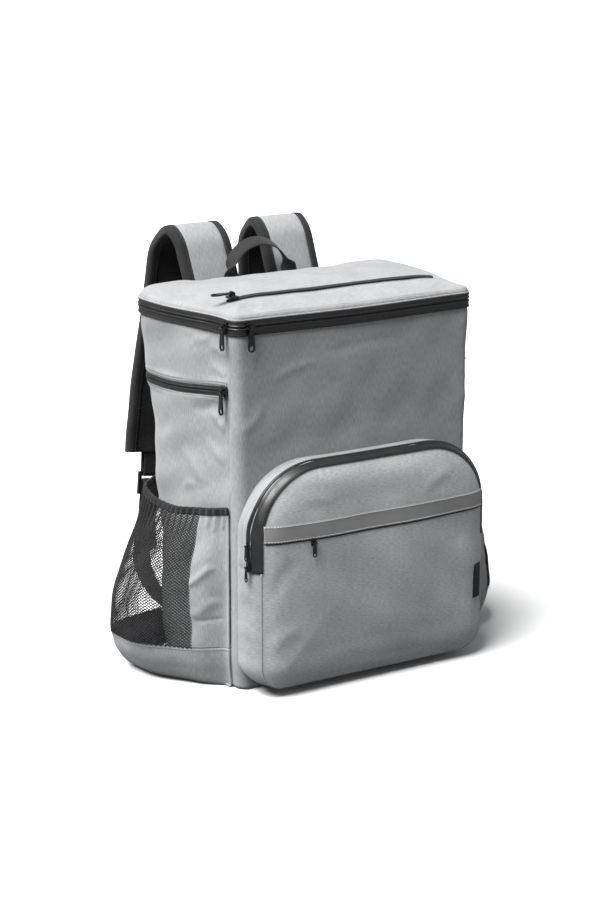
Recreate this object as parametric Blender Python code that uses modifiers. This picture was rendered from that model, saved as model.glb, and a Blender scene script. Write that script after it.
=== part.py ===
"""Cooler backpack: an insulated body with a zipped lid, a domed front pocket, net side pockets,
padded shoulder straps, a carrying loop and metal zip pulls.

Metres, +Z up. The front pocket faces -Y and the wearer's back lies at +Y.
The origin is on the floor, under the middle of the body.
"""

import math
from collections import namedtuple

import bmesh
import bpy
from mathutils import Matrix, Vector

# Body
BODY_WIDTH = 0.320
BODY_DEPTH = 0.205
WALL_HEIGHT = 0.413
WALL = 0.006
FRONT_CORNER = 0.012
BACK_CORNER = 0.040
SIDE_BELLY = 0.006
BACK_SPLAY = 0.022
FRONT_BELLY = 0.006
FRONT_LAP = 0.005
BACK_LAP = 0.006
BACK_PAD_RISE = 0.009

# Cloth, tape and the gap that sewn pieces keep
FABRIC = 0.002
NET = 0.0012
SEAM_GAP = 0.0006
TOUCH_GAP = 0.0003
MAX_STEP = 0.075
POCKET_STEPS = 10

# Zips
TAPE_WIDTH = 0.0072
TAPE = 0.0030
SIDE_ZIP_HEIGHT = 0.342
SIDE_ZIP_WIDTH = 0.010
SIDE_ZIP_SAG = 0.010
SIDE_ZIP_WAVE = 0.65
LID_ZIP_WIDTH = 0.007
LID_ZIP_SETBACK = 0.051
LID_ZIP_LENGTH = 0.276

# Lid
LID_RISE = 0.019

# Front pocket
POCKET_WIDTH = 0.300
POCKET_BOTTOM = 0.012
POCKET_TOP = 0.263
POCKET_DEPTH = 0.033
POCKET_TOP_CORNER = 0.076
POCKET_BOTTOM_CORNER = 0.028
POCKET_FLARE = 0.009
POCKET_FOOT_FLARE = 0.3
POCKET_BELLY = 0.014
POCKET_SPLIT = 0.150
STRIP_HEIGHT = 0.185
STRIP_WIDTH = 0.020
STRIP = 0.0008
FACE_ZIP_INSET = 0.059
LABEL_WIDTH = 0.013
LABEL_LENGTH = 0.042
LABEL_HEIGHT = 0.074

# Side pockets
SIDE_POCKET_BULGE = 0.078
SIDE_POCKET_TOP = 0.214
SIDE_POCKET_DIP = 0.011
BASE_STRIP_HEIGHT = 0.048
GREY_PANEL_TOP = 0.040
GREY_PANEL_FOOT = 0.022
BINDING_WIDTH = 0.008

# Shoulder straps
STRAP_WIDTH = 0.072
STRAP_SPACING = 0.116
STRAP_REACH_DEPTH = 0.100
STRAP_ARCH = 0.057
STRAP_DROP_HEIGHT = 0.225
PAD_THICKNESS = 0.009
FACE_CLOTH = 0.0015
EDGE_TAPE = 0.0012
EDGE_COVER = 0.010

# Webbing, buckles and the carrying loop
WEBBING_WIDTH = 0.025
WEBBING = 0.0016
TAIL_LENGTH = 0.075
BUCKLE_WIDTH = 0.034
BUCKLE_LENGTH = 0.028
BUCKLE_BAR = 0.0032
BUCKLE_DISTANCE = 0.024
MIDDLE_BAR_SHARE = 0.03
RAIL_SHARE = 1.25
WRAP_NEAR = 0.80
WRAP_SIDE = 0.65
WRAP_FAR = 1.10
TAIL_LIFT = 0.0035
TAIL_BEND = 0.4
LOOP_SPAN = 0.084
LOOP_RISE = 0.044
LOOP_WIDTH = 0.019
LOOP_TILT = math.radians(24)
LOOP_BACK = 0.32
LOOP_FOOT = 0.012

# Zip pulls
SLIDER_LENGTH = 0.010
SLIDER_WIDTH = 0.011
SLIDER_HEIGHT = 0.0026
BAR_RADIUS = 0.0009
EYE_WALL = 0.0010
EYE_CLEARANCE = 0.0004
PULL_LENGTH = 0.027
PULL_WIDTH = 0.0088
PULL_NECK = 0.0052
PULL_THICKNESS = 0.0018
PULL_HOLE = 0.0028
SMALL_PULL_SHARE = 0.62

# Sections of the body: shares of its height, width, depth, back corner, bellies and splay.
Section = namedtuple("Section", "height width front back corner side_belly front_belly splay")
BODY_SECTIONS = (
    Section(0.000, 0.955, 0.016, 0.016, 1.05, 0.0, 0.0, 0.10),
    Section(0.018, 0.955, 0.016, 0.016, 1.05, 0.0, 0.0, 0.10),
    Section(0.070, 0.982, 0.000, 0.008, 1.10, 0.4, 0.3, 0.20),
    Section(0.330, 0.980, 0.000, 0.020, 1.25, 0.9, 0.6, 0.30),
    Section(0.600, 0.980, 0.000, 0.025, 1.20, 1.0, 0.9, 0.55),
    Section(0.900, 0.990, 0.000, 0.008, 1.05, 0.8, 1.0, 0.90),
    Section(0.982, 1.000, 0.000, 0.000, 1.00, 0.5, 1.0, 1.00),
    Section(1.000, 1.000, 0.000, 0.000, 1.00, 0.5, 1.0, 1.00),
)

# Rings of the lid from its edge to its crown: shares of half the body's depth and of the rise.
LidRing = namedtuple("LidRing", "inset rise")
LID_RINGS = (
    LidRing(0.00, 0.00),
    LidRing(0.00, 0.12),
    LidRing(0.03, 0.30),
    LidRing(0.12, 0.44),
    LidRing(0.40, 0.62),
    LidRing(0.78, 1.00),
)

# Rings of the pocket's sides from the body to the zip and the face: shares of its depth and flare.
SideRing = namedtuple("SideRing", "depth flare")
GUSSET_RINGS = (SideRing(0.00, 0.10), SideRing(0.28, 0.85), SideRing(0.46, 1.00))
ZIP_RINGS = (SideRing(0.46, 1.00), SideRing(0.56, 1.00), SideRing(0.78, 0.70), SideRing(0.965, 0.07))

# Rings of the pocket's face from its edge inwards: shares of half its height and of its belly.
FaceRing = namedtuple("FaceRing", "inset belly")
FACE_RINGS = (FaceRing(0.00, 0.00), FaceRing(0.10, 0.42), FaceRing(0.35, 0.80), FaceRing(0.72, 1.00))

# Plan of a side pocket from its front seam to its back seam: shares of its length and bulge.
PlanPoint = namedtuple("PlanPoint", "along left right")
SIDE_POCKET_PLAN = (
    PlanPoint(0.00, 0.00, 0.00),
    PlanPoint(0.03, 0.01, 0.02),
    PlanPoint(0.12, 0.34, 0.66),
    PlanPoint(0.26, 0.62, 0.98),
    PlanPoint(0.42, 0.90, 1.08),
    PlanPoint(0.60, 1.00, 1.05),
    PlanPoint(0.78, 0.97, 0.97),
    PlanPoint(0.91, 0.68, 0.68),
    PlanPoint(1.00, 0.00, 0.00),
)

# Side view of a side pocket, from the body's foot up: shares of the pocket's top and bulge.
ProfilePoint = namedtuple("ProfilePoint", "height out")
SIDE_POCKET_FOOT = (ProfilePoint(0.004, 0.06), ProfilePoint(0.004, 0.62), ProfilePoint(0.035, 0.78))
SIDE_POCKET_PROFILE = (
    ProfilePoint(0.035, 0.78),
    ProfilePoint(0.110, 0.92),
    ProfilePoint(0.235, 1.00),
    ProfilePoint(0.360, 0.95),
    ProfilePoint(0.520, 0.84),
    ProfilePoint(0.700, 0.62),
    ProfilePoint(0.860, 0.38),
    ProfilePoint(1.000, 0.23),
)

# Route of a shoulder strap: shares of its spacing, reach behind the body, arch and drop.
StrapPoint = namedtuple("StrapPoint", "side back arch drop")
STRAP_ROUTE = (
    StrapPoint(0.97, 0.00, 0.00, 0.280),
    StrapPoint(0.97, 0.00, 0.00, 0.150),
    StrapPoint(0.98, 0.13, 0.00, 0.020),
    StrapPoint(0.99, 0.25, 0.41, 0.000),
    StrapPoint(1.00, 0.37, 0.79, 0.000),
    StrapPoint(1.02, 0.56, 1.00, 0.000),
    StrapPoint(1.05, 0.75, 0.80, 0.000),
    StrapPoint(1.09, 0.89, 0.41, 0.000),
    StrapPoint(1.16, 0.95, 0.00, 0.100),
    StrapPoint(1.32, 1.02, 0.00, 0.440),
    StrapPoint(1.48, 1.04, 0.00, 0.730),
    StrapPoint(1.62, 1.00, 0.00, 1.000),
)
STRAP_STATIONS = 22

# Slack webbing between the buckle and the back's foot: shares of half the width, reach and height.
WebbingPoint = namedtuple("WebbingPoint", "side back height")
WEBBING_ROUTE = (
    WebbingPoint(0.70, 1.00, 0.250),
    WebbingPoint(0.73, 0.96, 0.165),
    WebbingPoint(0.73, 0.66, 0.100),
    WebbingPoint(0.71, 0.30, 0.070),
    WebbingPoint(0.68, 0.10, 0.060),
    WebbingPoint(0.65, 0.025, 0.052),
    WebbingPoint(0.64, 0.000, 0.040),
    WebbingPoint(0.64, 0.000, 0.022),
)

# Colours and finishes
Finish = namedtuple("Finish", "colour roughness metallic")
FINISHES = {
    "grey_cloth": Finish((0.42, 0.43, 0.45), 0.9, 0.0),
    "zip_tape": Finish((0.045, 0.045, 0.05), 0.5, 0.0),
    "black_metal": Finish((0.02, 0.02, 0.022), 0.35, 0.6),
    "black_net": Finish((0.015, 0.015, 0.017), 0.9, 0.0),
    "black_webbing": Finish((0.03, 0.03, 0.034), 0.75, 0.0),
    "reflective_tape": Finish((0.28, 0.29, 0.30), 0.4, 0.1),
    "woven_label": Finish((0.008, 0.008, 0.009), 0.7, 0.0),
    "black_plastic": Finish((0.02, 0.02, 0.022), 0.4, 0.0),
}

RIM_HEIGHT = WALL_HEIGHT + 2 * TAPE_WIDTH + 3 * SEAM_GAP
FRONT_Y = -BODY_DEPTH / 2
BACK_Y = BODY_DEPTH / 2
BACK_HALF = min(
    s.width * BODY_WIDTH / 2 - s.corner * BACK_CORNER for s in BODY_SECTIONS
) - BACK_LAP


def clear_scene():
    for old in list(bpy.data.objects):
        bpy.data.objects.remove(old)


def material(name):
    made = bpy.data.materials.get(name)
    if made:
        return made
    finish = FINISHES[name]
    made = bpy.data.materials.new(name)
    made.use_nodes = True
    shader = made.node_tree.nodes["Principled BSDF"]
    shader.inputs["Base Color"].default_value = (*finish.colour, 1.0)
    shader.inputs["Roughness"].default_value = finish.roughness
    shader.inputs["Metallic"].default_value = finish.metallic
    return made


def new_collection(name):
    made = bpy.data.collections.new(name)
    bpy.context.scene.collection.children.link(made)
    return made


def add_object(name, mesh, finish):
    """A named object of the backpack with one finish."""
    mesh.materials.clear()
    mesh.materials.append(material(finish))
    made = bpy.data.objects.new(name, mesh)
    PARTS.objects.link(made)
    return made


def thicken(obj, thickness):
    """Gives an open cloth its thickness, on its inner side."""
    wall = obj.modifiers.new("wall", "SOLIDIFY")
    wall.thickness = thickness
    wall.offset = -1
    wall.use_even_offset = True
    wall.use_quality_normals = True
    return obj


def loft(rows, closed=False, capped=False):
    """An open surface through rows of points. Closed joins each row's ends, capped fills the last row."""
    count = len(rows[0])
    points = [p for row in rows for p in row]
    faces = []
    for r in range(len(rows) - 1):
        for c in range(count if closed else count - 1):
            d = (c + 1) % count
            faces.append((r * count + c, r * count + d, (r + 1) * count + d, (r + 1) * count + c))
    if capped:
        faces.append(tuple(range((len(rows) - 1) * count, len(rows) * count)))
    mesh = bpy.data.meshes.new("loft")
    mesh.from_pydata(points, [], faces)
    return mesh


def cloth(name, rows, finish, thickness, closed=False, capped=False):
    return thicken(add_object(name, loft(rows, closed, capped), finish), thickness)


def mirrored(rows):
    """The same rows on the other side, with their faces still pointing outwards."""
    return [[Vector((-p.x, p.y, p.z)) for p in reversed(row)] for row in rows]


def both_sides(name, rows, finish, thickness):
    cloth(name + "_left", rows, finish, thickness)
    cloth(name + "_right", mirrored(rows), finish, thickness)


def eased(t):
    return t * t * (3 - 2 * t)


def from_table(table, at, column):
    """A column's value at a share of the first column, between the table's rows."""
    for low, high in zip(table, table[1:]):
        if at <= high[0]:
            t = max(0.0, min(1.0, (at - low[0]) / (high[0] - low[0])))
            return getattr(low, column) + (getattr(high, column) - getattr(low, column)) * t
    return getattr(table[-1], column)


def arc(cx, cy, radius, start, end, steps):
    """Points strictly inside an arc, in degrees."""
    angles = [math.radians(start + (end - start) * i / steps) for i in range(1, steps)]
    return [(cx + radius * math.cos(a), cy + radius * math.sin(a)) for a in angles]


def between(start, end, steps):
    return [start + (end - start) * i / steps for i in range(1, steps)]


class BodySection:
    """The body's outline at one height, grown outwards by a distance."""

    def __init__(self, z, grow=0.0):
        at = z / WALL_HEIGHT
        self.z = z
        self.half = from_table(BODY_SECTIONS, at, "width") * BODY_WIDTH / 2 + grow
        self.front = FRONT_Y + from_table(BODY_SECTIONS, at, "front") * BODY_DEPTH - grow
        self.back = BACK_Y - from_table(BODY_SECTIONS, at, "back") * BODY_DEPTH + grow
        self.corner = from_table(BODY_SECTIONS, at, "corner") * BACK_CORNER + grow
        self.nose = FRONT_CORNER + grow
        self.side_belly = from_table(BODY_SECTIONS, at, "side_belly") * SIDE_BELLY
        self.front_belly = from_table(BODY_SECTIONS, at, "front_belly") * FRONT_BELLY
        self.splay = from_table(BODY_SECTIONS, at, "splay") * BACK_SPLAY
        self.seam = self.front + self.nose + FRONT_LAP

    def side_x(self, y):
        """X of the left side at a given y."""
        turn = self.back - self.corner
        if y > turn:
            inside = max(0.0, self.corner**2 - (y - turn) ** 2)
            return -(self.half + self.splay - self.corner) - math.sqrt(inside)
        flat = self.seam + FRONT_LAP
        t = max(0.0, min(1.0, (y - flat) / (turn - flat)))
        out = self.splay * math.sin(math.pi * t / 2) ** 2 + self.side_belly * math.sin(math.pi * t) ** 2
        return -self.half - out

    def front_y(self, x):
        """Y of the front at a given x between its corners."""
        flat = self.half - self.nose
        t = max(-1.0, min(1.0, x / flat))
        return self.front - self.front_belly * math.cos(math.pi * t / 2) ** 2

    def side_path(self, gap=SEAM_GAP):
        """Left side, from the back seam round the corner to the front seam."""
        turn = self.back - self.corner
        flat = self.seam + FRONT_LAP
        wide = self.half + self.splay
        corner = arc(-(wide - self.corner), turn, self.corner, 90, 180, 4)
        sides = [(self.side_x(y), y) for y in between(turn, flat, 4)]
        path = [(-(BACK_HALF + gap / 2), self.back), (-(wide - self.corner), self.back), *corner]
        path += [(-wide, turn), *sides, (-self.half, flat), (-self.half, self.seam + gap / 2)]
        return [Vector((x, y, self.z)) for x, y in path]

    def front_path(self, gap=SEAM_GAP):
        """Front, from the left seam to the right seam."""
        start = self.front + self.nose
        left = [(-self.half, self.seam - gap / 2), (-self.half, start)]
        left += arc(-self.half + self.nose, start, self.nose, 180, 270, 3)
        left += [(-self.half + self.nose, self.front)]
        flat = self.half - self.nose
        middle = [(x, self.front_y(x)) for x in between(-flat, flat, 8)]
        right = [(-x, y) for x, y in reversed(left)]
        return [Vector((x, y, self.z)) for x, y in left + middle + right]

    def rim_path(self):
        """The three sides that the main zip runs along, as one line."""
        side = self.side_path(0.0)
        front = self.front_path(0.0)
        other = [Vector((-p.x, p.y, p.z)) for p in reversed(side)]
        return side[:-1] + front[1:-1] + other[1:]


def sagging(path):
    """The side zip's line: level at the front seam and lower towards the back."""
    front, back = path[-1].y, BACK_Y
    for p in path:
        p.z -= SIDE_ZIP_SAG * math.sin(SIDE_ZIP_WAVE * math.pi * (p.y - front) / (back - front))
    return path


def levels(low, high):
    """Heights from low to high: the table's own rows between them, and more where those lie far apart."""
    rows = [s.height * WALL_HEIGHT for s in BODY_SECTIONS]
    inside = [z for z in rows if low + WALL < z < high - WALL / 2]
    found = [low]
    for z in inside + [high]:
        steps = math.ceil((z - found[-1]) / MAX_STEP)
        found += between(found[-1], z, steps) + [z]
    return found


def build_body():
    front = [BodySection(z).front_path() for z in levels(0.0, WALL_HEIGHT)]
    cloth("front_panel", front, "grey_cloth", WALL)
    zip_top = SIDE_ZIP_HEIGHT + SIDE_ZIP_WIDTH
    lower = [BodySection(z).side_path() for z in levels(0.0, SIDE_ZIP_HEIGHT - SEAM_GAP)]
    lower[-1] = sagging(lower[-1])
    both_sides("side_panel_lower", lower, "grey_cloth", WALL)
    upper = [BodySection(z).side_path() for z in levels(zip_top + SEAM_GAP, WALL_HEIGHT)]
    upper[0] = sagging(upper[0])
    both_sides("side_panel_upper", upper, "grey_cloth", WALL)
    strip = [sagging(BodySection(z, TOUCH_GAP).side_path()) for z in (SIDE_ZIP_HEIGHT, zip_top)]
    both_sides("side_zip_tape", strip, "zip_tape", TAPE)
    build_back_panel()
    build_base_panel()


def back_surface(x, z):
    """Y of the back at a point: a low pad between the seams, below the straps' feet."""
    half = BACK_HALF - SEAM_GAP / 2
    along = math.sin(math.pi * min(1.0, z / (STRAP_FOOT - FRONT_LAP)))
    across = math.cos(math.pi * min(1.0, abs(x) / half) / 2)
    return BodySection(z).back + BACK_PAD_RISE * along * across


def build_back_panel():
    """A padded panel between the two back seams, as high as the lid's edge."""
    half = BACK_HALF - SEAM_GAP / 2
    across = [half - 2 * half * i / 8 for i in range(9)]
    heights = levels(0.0, WALL_HEIGHT) + [RIM_HEIGHT]
    rows = [[Vector((x, back_surface(x, z), z)) for x in across] for z in heights]
    cloth("back_panel", rows, "black_net", WALL)


def build_base_panel():
    """A flat floor that fits inside the foot of the four sides."""
    inner = BodySection(0.0, -(WALL + SEAM_GAP))
    outline = inner.rim_path()
    mesh = bpy.data.meshes.new("base")
    mesh.from_pydata([(p.x, p.y, WALL) for p in outline], [], [tuple(range(len(outline)))])
    thicken(add_object("base_panel", mesh, "grey_cloth"), WALL)


def build_main_zip():
    """Two tapes one above the other, round the left side, the front and the right side."""
    low = WALL_HEIGHT + SEAM_GAP
    for name in ("main_zip_tape_lower", "main_zip_tape_upper"):
        rows = []
        for z in (low, low + TAPE_WIDTH):
            path = BodySection(WALL_HEIGHT, TOUCH_GAP).rim_path()
            rows.append([Vector((p.x, p.y, z)) for p in path])
        rows = [[p for p in row if abs(p.x) > BACK_HALF + SEAM_GAP / 2 or p.y < 0] for row in rows]
        for row in rows:
            row[0].x -= SEAM_GAP
            row[-1].x += SEAM_GAP
        cloth(name, rows, "zip_tape", TAPE)
        low += TAPE_WIDTH + SEAM_GAP


def lid_ring(inset, height):
    """The rim's outline at another height, drawn in by a distance on all four sides."""
    rim = BodySection(WALL_HEIGHT)
    wide = 1 - inset / (rim.half + rim.splay)
    deep = 1 - inset / (BODY_DEPTH / 2)
    return [Vector((p.x * wide, p.y * deep, height)) for p in rim.rim_path()]


def lid_height(x, y):
    """Height of the lid's crown over a point, from its distance to the lid's edge."""
    rim = BodySection(WALL_HEIGHT)
    from_side = (rim.half + rim.splay) * (1 + abs(x) / rim.side_x(y))
    from_front = BODY_DEPTH / 2 * (1 - y / rim.front_y(x))
    share = max(0.0, min(from_side, from_front) / (BODY_DEPTH / 2))
    for low, high in zip(LID_RINGS[1:], LID_RINGS[2:]):
        if share <= high.inset:
            t = (share - low.inset) / (high.inset - low.inset)
            return LID_BASE + LID_RISE * (low.rise + (high.rise - low.rise) * t)
    return LID_BASE + LID_RISE


def build_lid():
    rows = [
        lid_ring(ring.inset * BODY_DEPTH / 2, LID_BASE + ring.rise * LID_RISE) for ring in LID_RINGS
    ]
    cloth("lid", rows, "grey_cloth", WALL, closed=True, capped=True)
    y = FRONT_Y + LID_ZIP_SETBACK
    steps = 10
    rows = []
    for side in (-LID_ZIP_WIDTH / 2, LID_ZIP_WIDTH / 2):
        xs = [-LID_ZIP_LENGTH / 2 + LID_ZIP_LENGTH * i / steps for i in range(steps + 1)]
        rows.append([
            Vector((x, y + side, lid_height(x, y + side) + FABRIC / 2 + SEAM_GAP)) for x in xs
        ])
    cloth("lid_zip_tape", rows, "zip_tape", FABRIC / 2)


def pocket_corner(width_half, low, high, top_radius, bottom_radius, upper, gap):
    """Half an arch's outline, from the split up or down to the middle, on the right (+X) side."""
    if upper:
        start = [(width_half, POCKET_SPLIT + gap / 2), (width_half, high - top_radius)]
        turn = arc(width_half - top_radius, high - top_radius, top_radius, 0, 90, 5)
        return start + turn + [(width_half - top_radius, high)]
    turn = arc(width_half - bottom_radius, low + bottom_radius, bottom_radius, 270, 360, 3)
    end = [(width_half, low + bottom_radius), (width_half, POCKET_SPLIT - gap / 2)]
    return [(width_half - bottom_radius, low)] + turn + end


def pocket_path(grow, upper, gap=SEAM_GAP):
    """Outline of the front pocket as (x, z), anticlockwise from the front: the arch or the foot."""
    half = POCKET_WIDTH / 2 + grow
    low = POCKET_BOTTOM - grow * POCKET_FOOT_FLARE
    high = POCKET_TOP + grow
    top_radius = max(POCKET_TOP_CORNER + grow, FABRIC)
    bottom_radius = max(POCKET_BOTTOM_CORNER + grow, FABRIC)
    right = pocket_corner(half, low, high, top_radius, bottom_radius, upper, gap)
    left = [(-x, z) for x, z in reversed(right)]
    middle = [(x, high if upper else low) for x in between(right[-1][0], -right[-1][0], POCKET_STEPS)]
    if upper:
        return right + middle + left
    middle = [(x, low) for x in between(left[-1][0], -left[-1][0], POCKET_STEPS)]
    return left + middle + right


POCKET_FACE_Y = FRONT_Y - FRONT_BELLY - POCKET_DEPTH


def pocket_point(x, z, depth):
    """A point of the pocket's side, between the body's front and the plane of the face's edge."""
    body = BodySection(z).front_y(x) - TOUCH_GAP
    return Vector((x, body + (POCKET_FACE_Y - body) * depth, z))


def face_height(x, z):
    """How far the pocket's face bulges at a point, from its distance to the face's edge."""
    half = POCKET_WIDTH / 2
    middle = (POCKET_TOP + POCKET_BOTTOM) / 2
    reach = (POCKET_TOP - POCKET_BOTTOM) / 2
    edge = min(half - abs(x), reach - abs(z - middle))
    share = max(0.0, edge / reach)
    for low, high in zip(FACE_RINGS, FACE_RINGS[1:]):
        if share <= high.inset:
            t = (share - low.inset) / (high.inset - low.inset)
            return POCKET_BELLY * (low.belly + (high.belly - low.belly) * t)
    return POCKET_BELLY


def face_patch(name, low, high, heights, finish, thickness):
    """A thin piece that lies on the pocket's face and bends where the face's rings do."""
    lift = thickness + SEAM_GAP
    reach = (POCKET_TOP - POCKET_BOTTOM) / 2
    insets = [ring.inset * reach for ring in FACE_RINGS]
    insets += [min(z - POCKET_BOTTOM, POCKET_TOP - z) for z in heights]
    bends = [side * (POCKET_WIDTH / 2 - inset) for inset in insets for side in (-1, 1)]
    columns = [low, *sorted(x for x in bends if low < x < high), high]
    rows = [
        [Vector((x, POCKET_FACE_Y - face_height(x, z) - lift, z)) for x in columns] for z in heights
    ]
    cloth(name, rows, finish, thickness)


def build_front_pocket():
    def rows_of(rings, upper):
        return [
            [pocket_point(x, z, ring.depth) for x, z in pocket_path(ring.flare * POCKET_FLARE, upper)]
            for ring in rings
        ]

    cloth("pocket_gusset_upper", rows_of(GUSSET_RINGS, True), "grey_cloth", FABRIC)
    zip_rings = [SideRing(r.depth + 0.02 * (i == 0), r.flare) for i, r in enumerate(ZIP_RINGS)]
    cloth("pocket_zip_tape", rows_of(zip_rings, True), "zip_tape", FABRIC)
    lower = GUSSET_RINGS + ZIP_RINGS[1:]
    cloth("pocket_gusset_lower", rows_of(lower, False), "grey_cloth", FABRIC)

    reach = (POCKET_TOP - POCKET_BOTTOM) / 2
    rows = []
    for ring in FACE_RINGS:
        path = pocket_path(-ring.inset * reach, True, 0.0)
        path += pocket_path(-ring.inset * reach, False, 0.0)[1:-1]
        rows.append([Vector((x, POCKET_FACE_Y - ring.belly * POCKET_BELLY, z)) for x, z in path])
    cloth("pocket_face", rows, "grey_cloth", FABRIC, closed=True, capped=True)

    edge = POCKET_WIDTH / 2 - FABRIC
    top = STRIP_HEIGHT + STRIP_WIDTH
    face_patch("reflective_strip", -edge, edge, (STRIP_HEIGHT, top), "reflective_tape", STRIP)
    heights = (LABEL_HEIGHT, LABEL_HEIGHT + LABEL_LENGTH)
    face_patch("label", edge - LABEL_WIDTH, edge, heights, "woven_label", STRIP)


def side_pocket_point(side, along, height, out):
    """A point of a side pocket, as on the left, at shares of its length, height and bulge."""
    z = height * SIDE_POCKET_TOP - SIDE_POCKET_DIP * height**3 * math.sin(math.pi * along)
    section = BodySection(z, SEAM_GAP)
    back = section.back - section.corner * (1 - math.sin(math.radians(45)))
    y = section.seam + (back - section.seam) * along
    bulge = SIDE_POCKET_BULGE * out * from_table(SIDE_POCKET_PLAN, along, side)
    lift = FABRIC + SEAM_GAP
    return Vector((section.side_x(y) - lift - bulge, y, z))


def side_pocket_piece(name, alongs, profile, finish, thickness):
    """A piece of both side pockets, from rows that run from the back seam to the front seam."""
    for side in ("left", "right"):
        rows = [
            [side_pocket_point(side, a, p.height, p.out) for a in reversed(alongs(p.height))]
            for p in profile
        ]
        cloth(name + "_" + side, mirrored(rows) if side == "right" else rows, finish, thickness)


def profile_between(low, high):
    """The profile's own points between two heights, with the ends added."""
    inside = [p for p in SIDE_POCKET_PROFILE if low + 0.02 < p.height < high - 0.02]
    ends = [ProfilePoint(h, from_table(SIDE_POCKET_PROFILE, h, "out")) for h in (low, high)]
    return [ends[0], *inside, ends[1]]


def build_side_pockets():
    plan = [p.along for p in SIDE_POCKET_PLAN]
    step = SEAM_GAP * 1.5 / SIDE_POCKET_TOP
    strip_top = BASE_STRIP_HEIGHT / SIDE_POCKET_TOP
    net_top = 1 - BINDING_WIDTH / SIDE_POCKET_TOP
    length = BODY_DEPTH - FRONT_CORNER - BACK_CORNER / 2

    def whole(height):
        return plan

    def grey(height):
        wide = GREY_PANEL_FOOT + (GREY_PANEL_TOP - GREY_PANEL_FOOT) * height
        flange = SIDE_POCKET_PLAN[1].along
        return [0.0] + [flange + (wide / length - flange) * i / 3 for i in range(4)]

    def net(height):
        start = grey(height)[-1] + SEAM_GAP / length
        return [start + (1 - start) * i / 8 for i in range(9)]

    foot = list(SIDE_POCKET_FOOT) + profile_between(SIDE_POCKET_FOOT[-1].height, strip_top)[1:]
    side_pocket_piece("side_pocket_base", whole, foot, "grey_cloth", FABRIC)
    middle = profile_between(strip_top + step, net_top - step)
    side_pocket_piece("side_pocket_panel", grey, middle, "grey_cloth", FABRIC)
    side_pocket_piece("side_pocket_net", net, middle, "black_net", NET)
    edge = profile_between(net_top, 1.0)
    side_pocket_piece("side_pocket_binding", whole, edge, "black_webbing", FABRIC)


def smooth_route(points, count):
    """Evenly spaced points on a smooth curve through the given ones."""
    ends = [points[0] * 2 - points[1], *points, points[-1] * 2 - points[-2]]
    fine = []
    for a, b, c, d in zip(ends, ends[1:], ends[2:], ends[3:]):
        for i in range(12):
            t = i / 12
            fine.append(
                0.5 * (2 * b + (c - a) * t + (2 * a - 5 * b + 4 * c - d) * t**2
                       + (3 * b - a - 3 * c + d) * t**3)
            )
    fine.append(points[-1])
    along = [0.0]
    for p, q in zip(fine, fine[1:]):
        along.append(along[-1] + (q - p).length)
    found, i = [], 0
    for k in range(count):
        at = along[-1] * k / (count - 1)
        while i < len(fine) - 2 and along[i + 1] < at:
            i += 1
        t = (at - along[i]) / (along[i + 1] - along[i])
        found.append(fine[i].lerp(fine[i + 1], min(1.0, t)))
    return found


def frames_along(route, across):
    """For each point of a route its place, its direction across and its outer normal."""
    found = []
    for i, point in enumerate(route):
        ahead = route[min(i + 1, len(route) - 1)] - route[max(i - 1, 0)]
        tangent = ahead.normalized()
        side = (across - tangent * across.dot(tangent)).normalized()
        found.append((point, side, side.cross(tangent)))
    return found


def level_frames(route):
    """The same for a band whose width stays level, along X, however far its route drifts."""
    found = []
    for i, point in enumerate(route):
        ahead = route[min(i + 1, len(route) - 1)] - route[max(i - 1, 0)]
        found.append((point, Vector((1, 0, 0)), Vector((1, 0, 0)).cross(ahead).normalized()))
    return found


def sweep(name, frames, section, finish):
    """A solid with one cross-section carried along a route, closed at both ends."""
    count = len(section)
    points = [p + side * a + normal * n for p, side, normal in frames for a, n in section]
    faces = []
    for r in range(len(frames) - 1):
        for c in range(count):
            d = (c + 1) % count
            faces.append((r * count + c, r * count + d, (r + 1) * count + d, (r + 1) * count + c))
    faces.append(tuple(range(count)))
    faces.append(tuple(range((len(frames) - 1) * count, len(frames) * count)))
    mesh = bpy.data.meshes.new(name)
    mesh.from_pydata(points, [], faces)
    shape = bmesh.new()
    shape.from_mesh(mesh)
    bmesh.ops.recalc_face_normals(shape, faces=shape.faces)
    shape.to_mesh(mesh)
    shape.free()
    return add_object(name, mesh, finish)


def rectangle(low_a, high_a, low_n, high_n, chamfer=0.0):
    if not chamfer:
        return [(low_a, low_n), (high_a, low_n), (high_a, high_n), (low_a, high_n)]
    return [
        (low_a + chamfer, low_n), (high_a - chamfer, low_n), (high_a, low_n + chamfer),
        (high_a, high_n - chamfer), (high_a - chamfer, high_n), (low_a + chamfer, high_n),
        (low_a, high_n - chamfer), (low_a, low_n + chamfer),
    ]


def strap_route(side):
    """Middle line of a shoulder strap's pad. side is -1 on the left and 1 on the right."""
    seat = SEAM_GAP + FACE_CLOTH + PAD_THICKNESS / 2 + SEAM_GAP
    points = []
    for row in STRAP_ROUTE:
        z = RIM_HEIGHT + row.arch * STRAP_ARCH - row.drop * STRAP_DROP_HEIGHT
        y = BACK_Y + seat + row.back * STRAP_REACH_DEPTH
        points.append(Vector((side * row.side * STRAP_SPACING / 2, y, z)))
    return points


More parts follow.
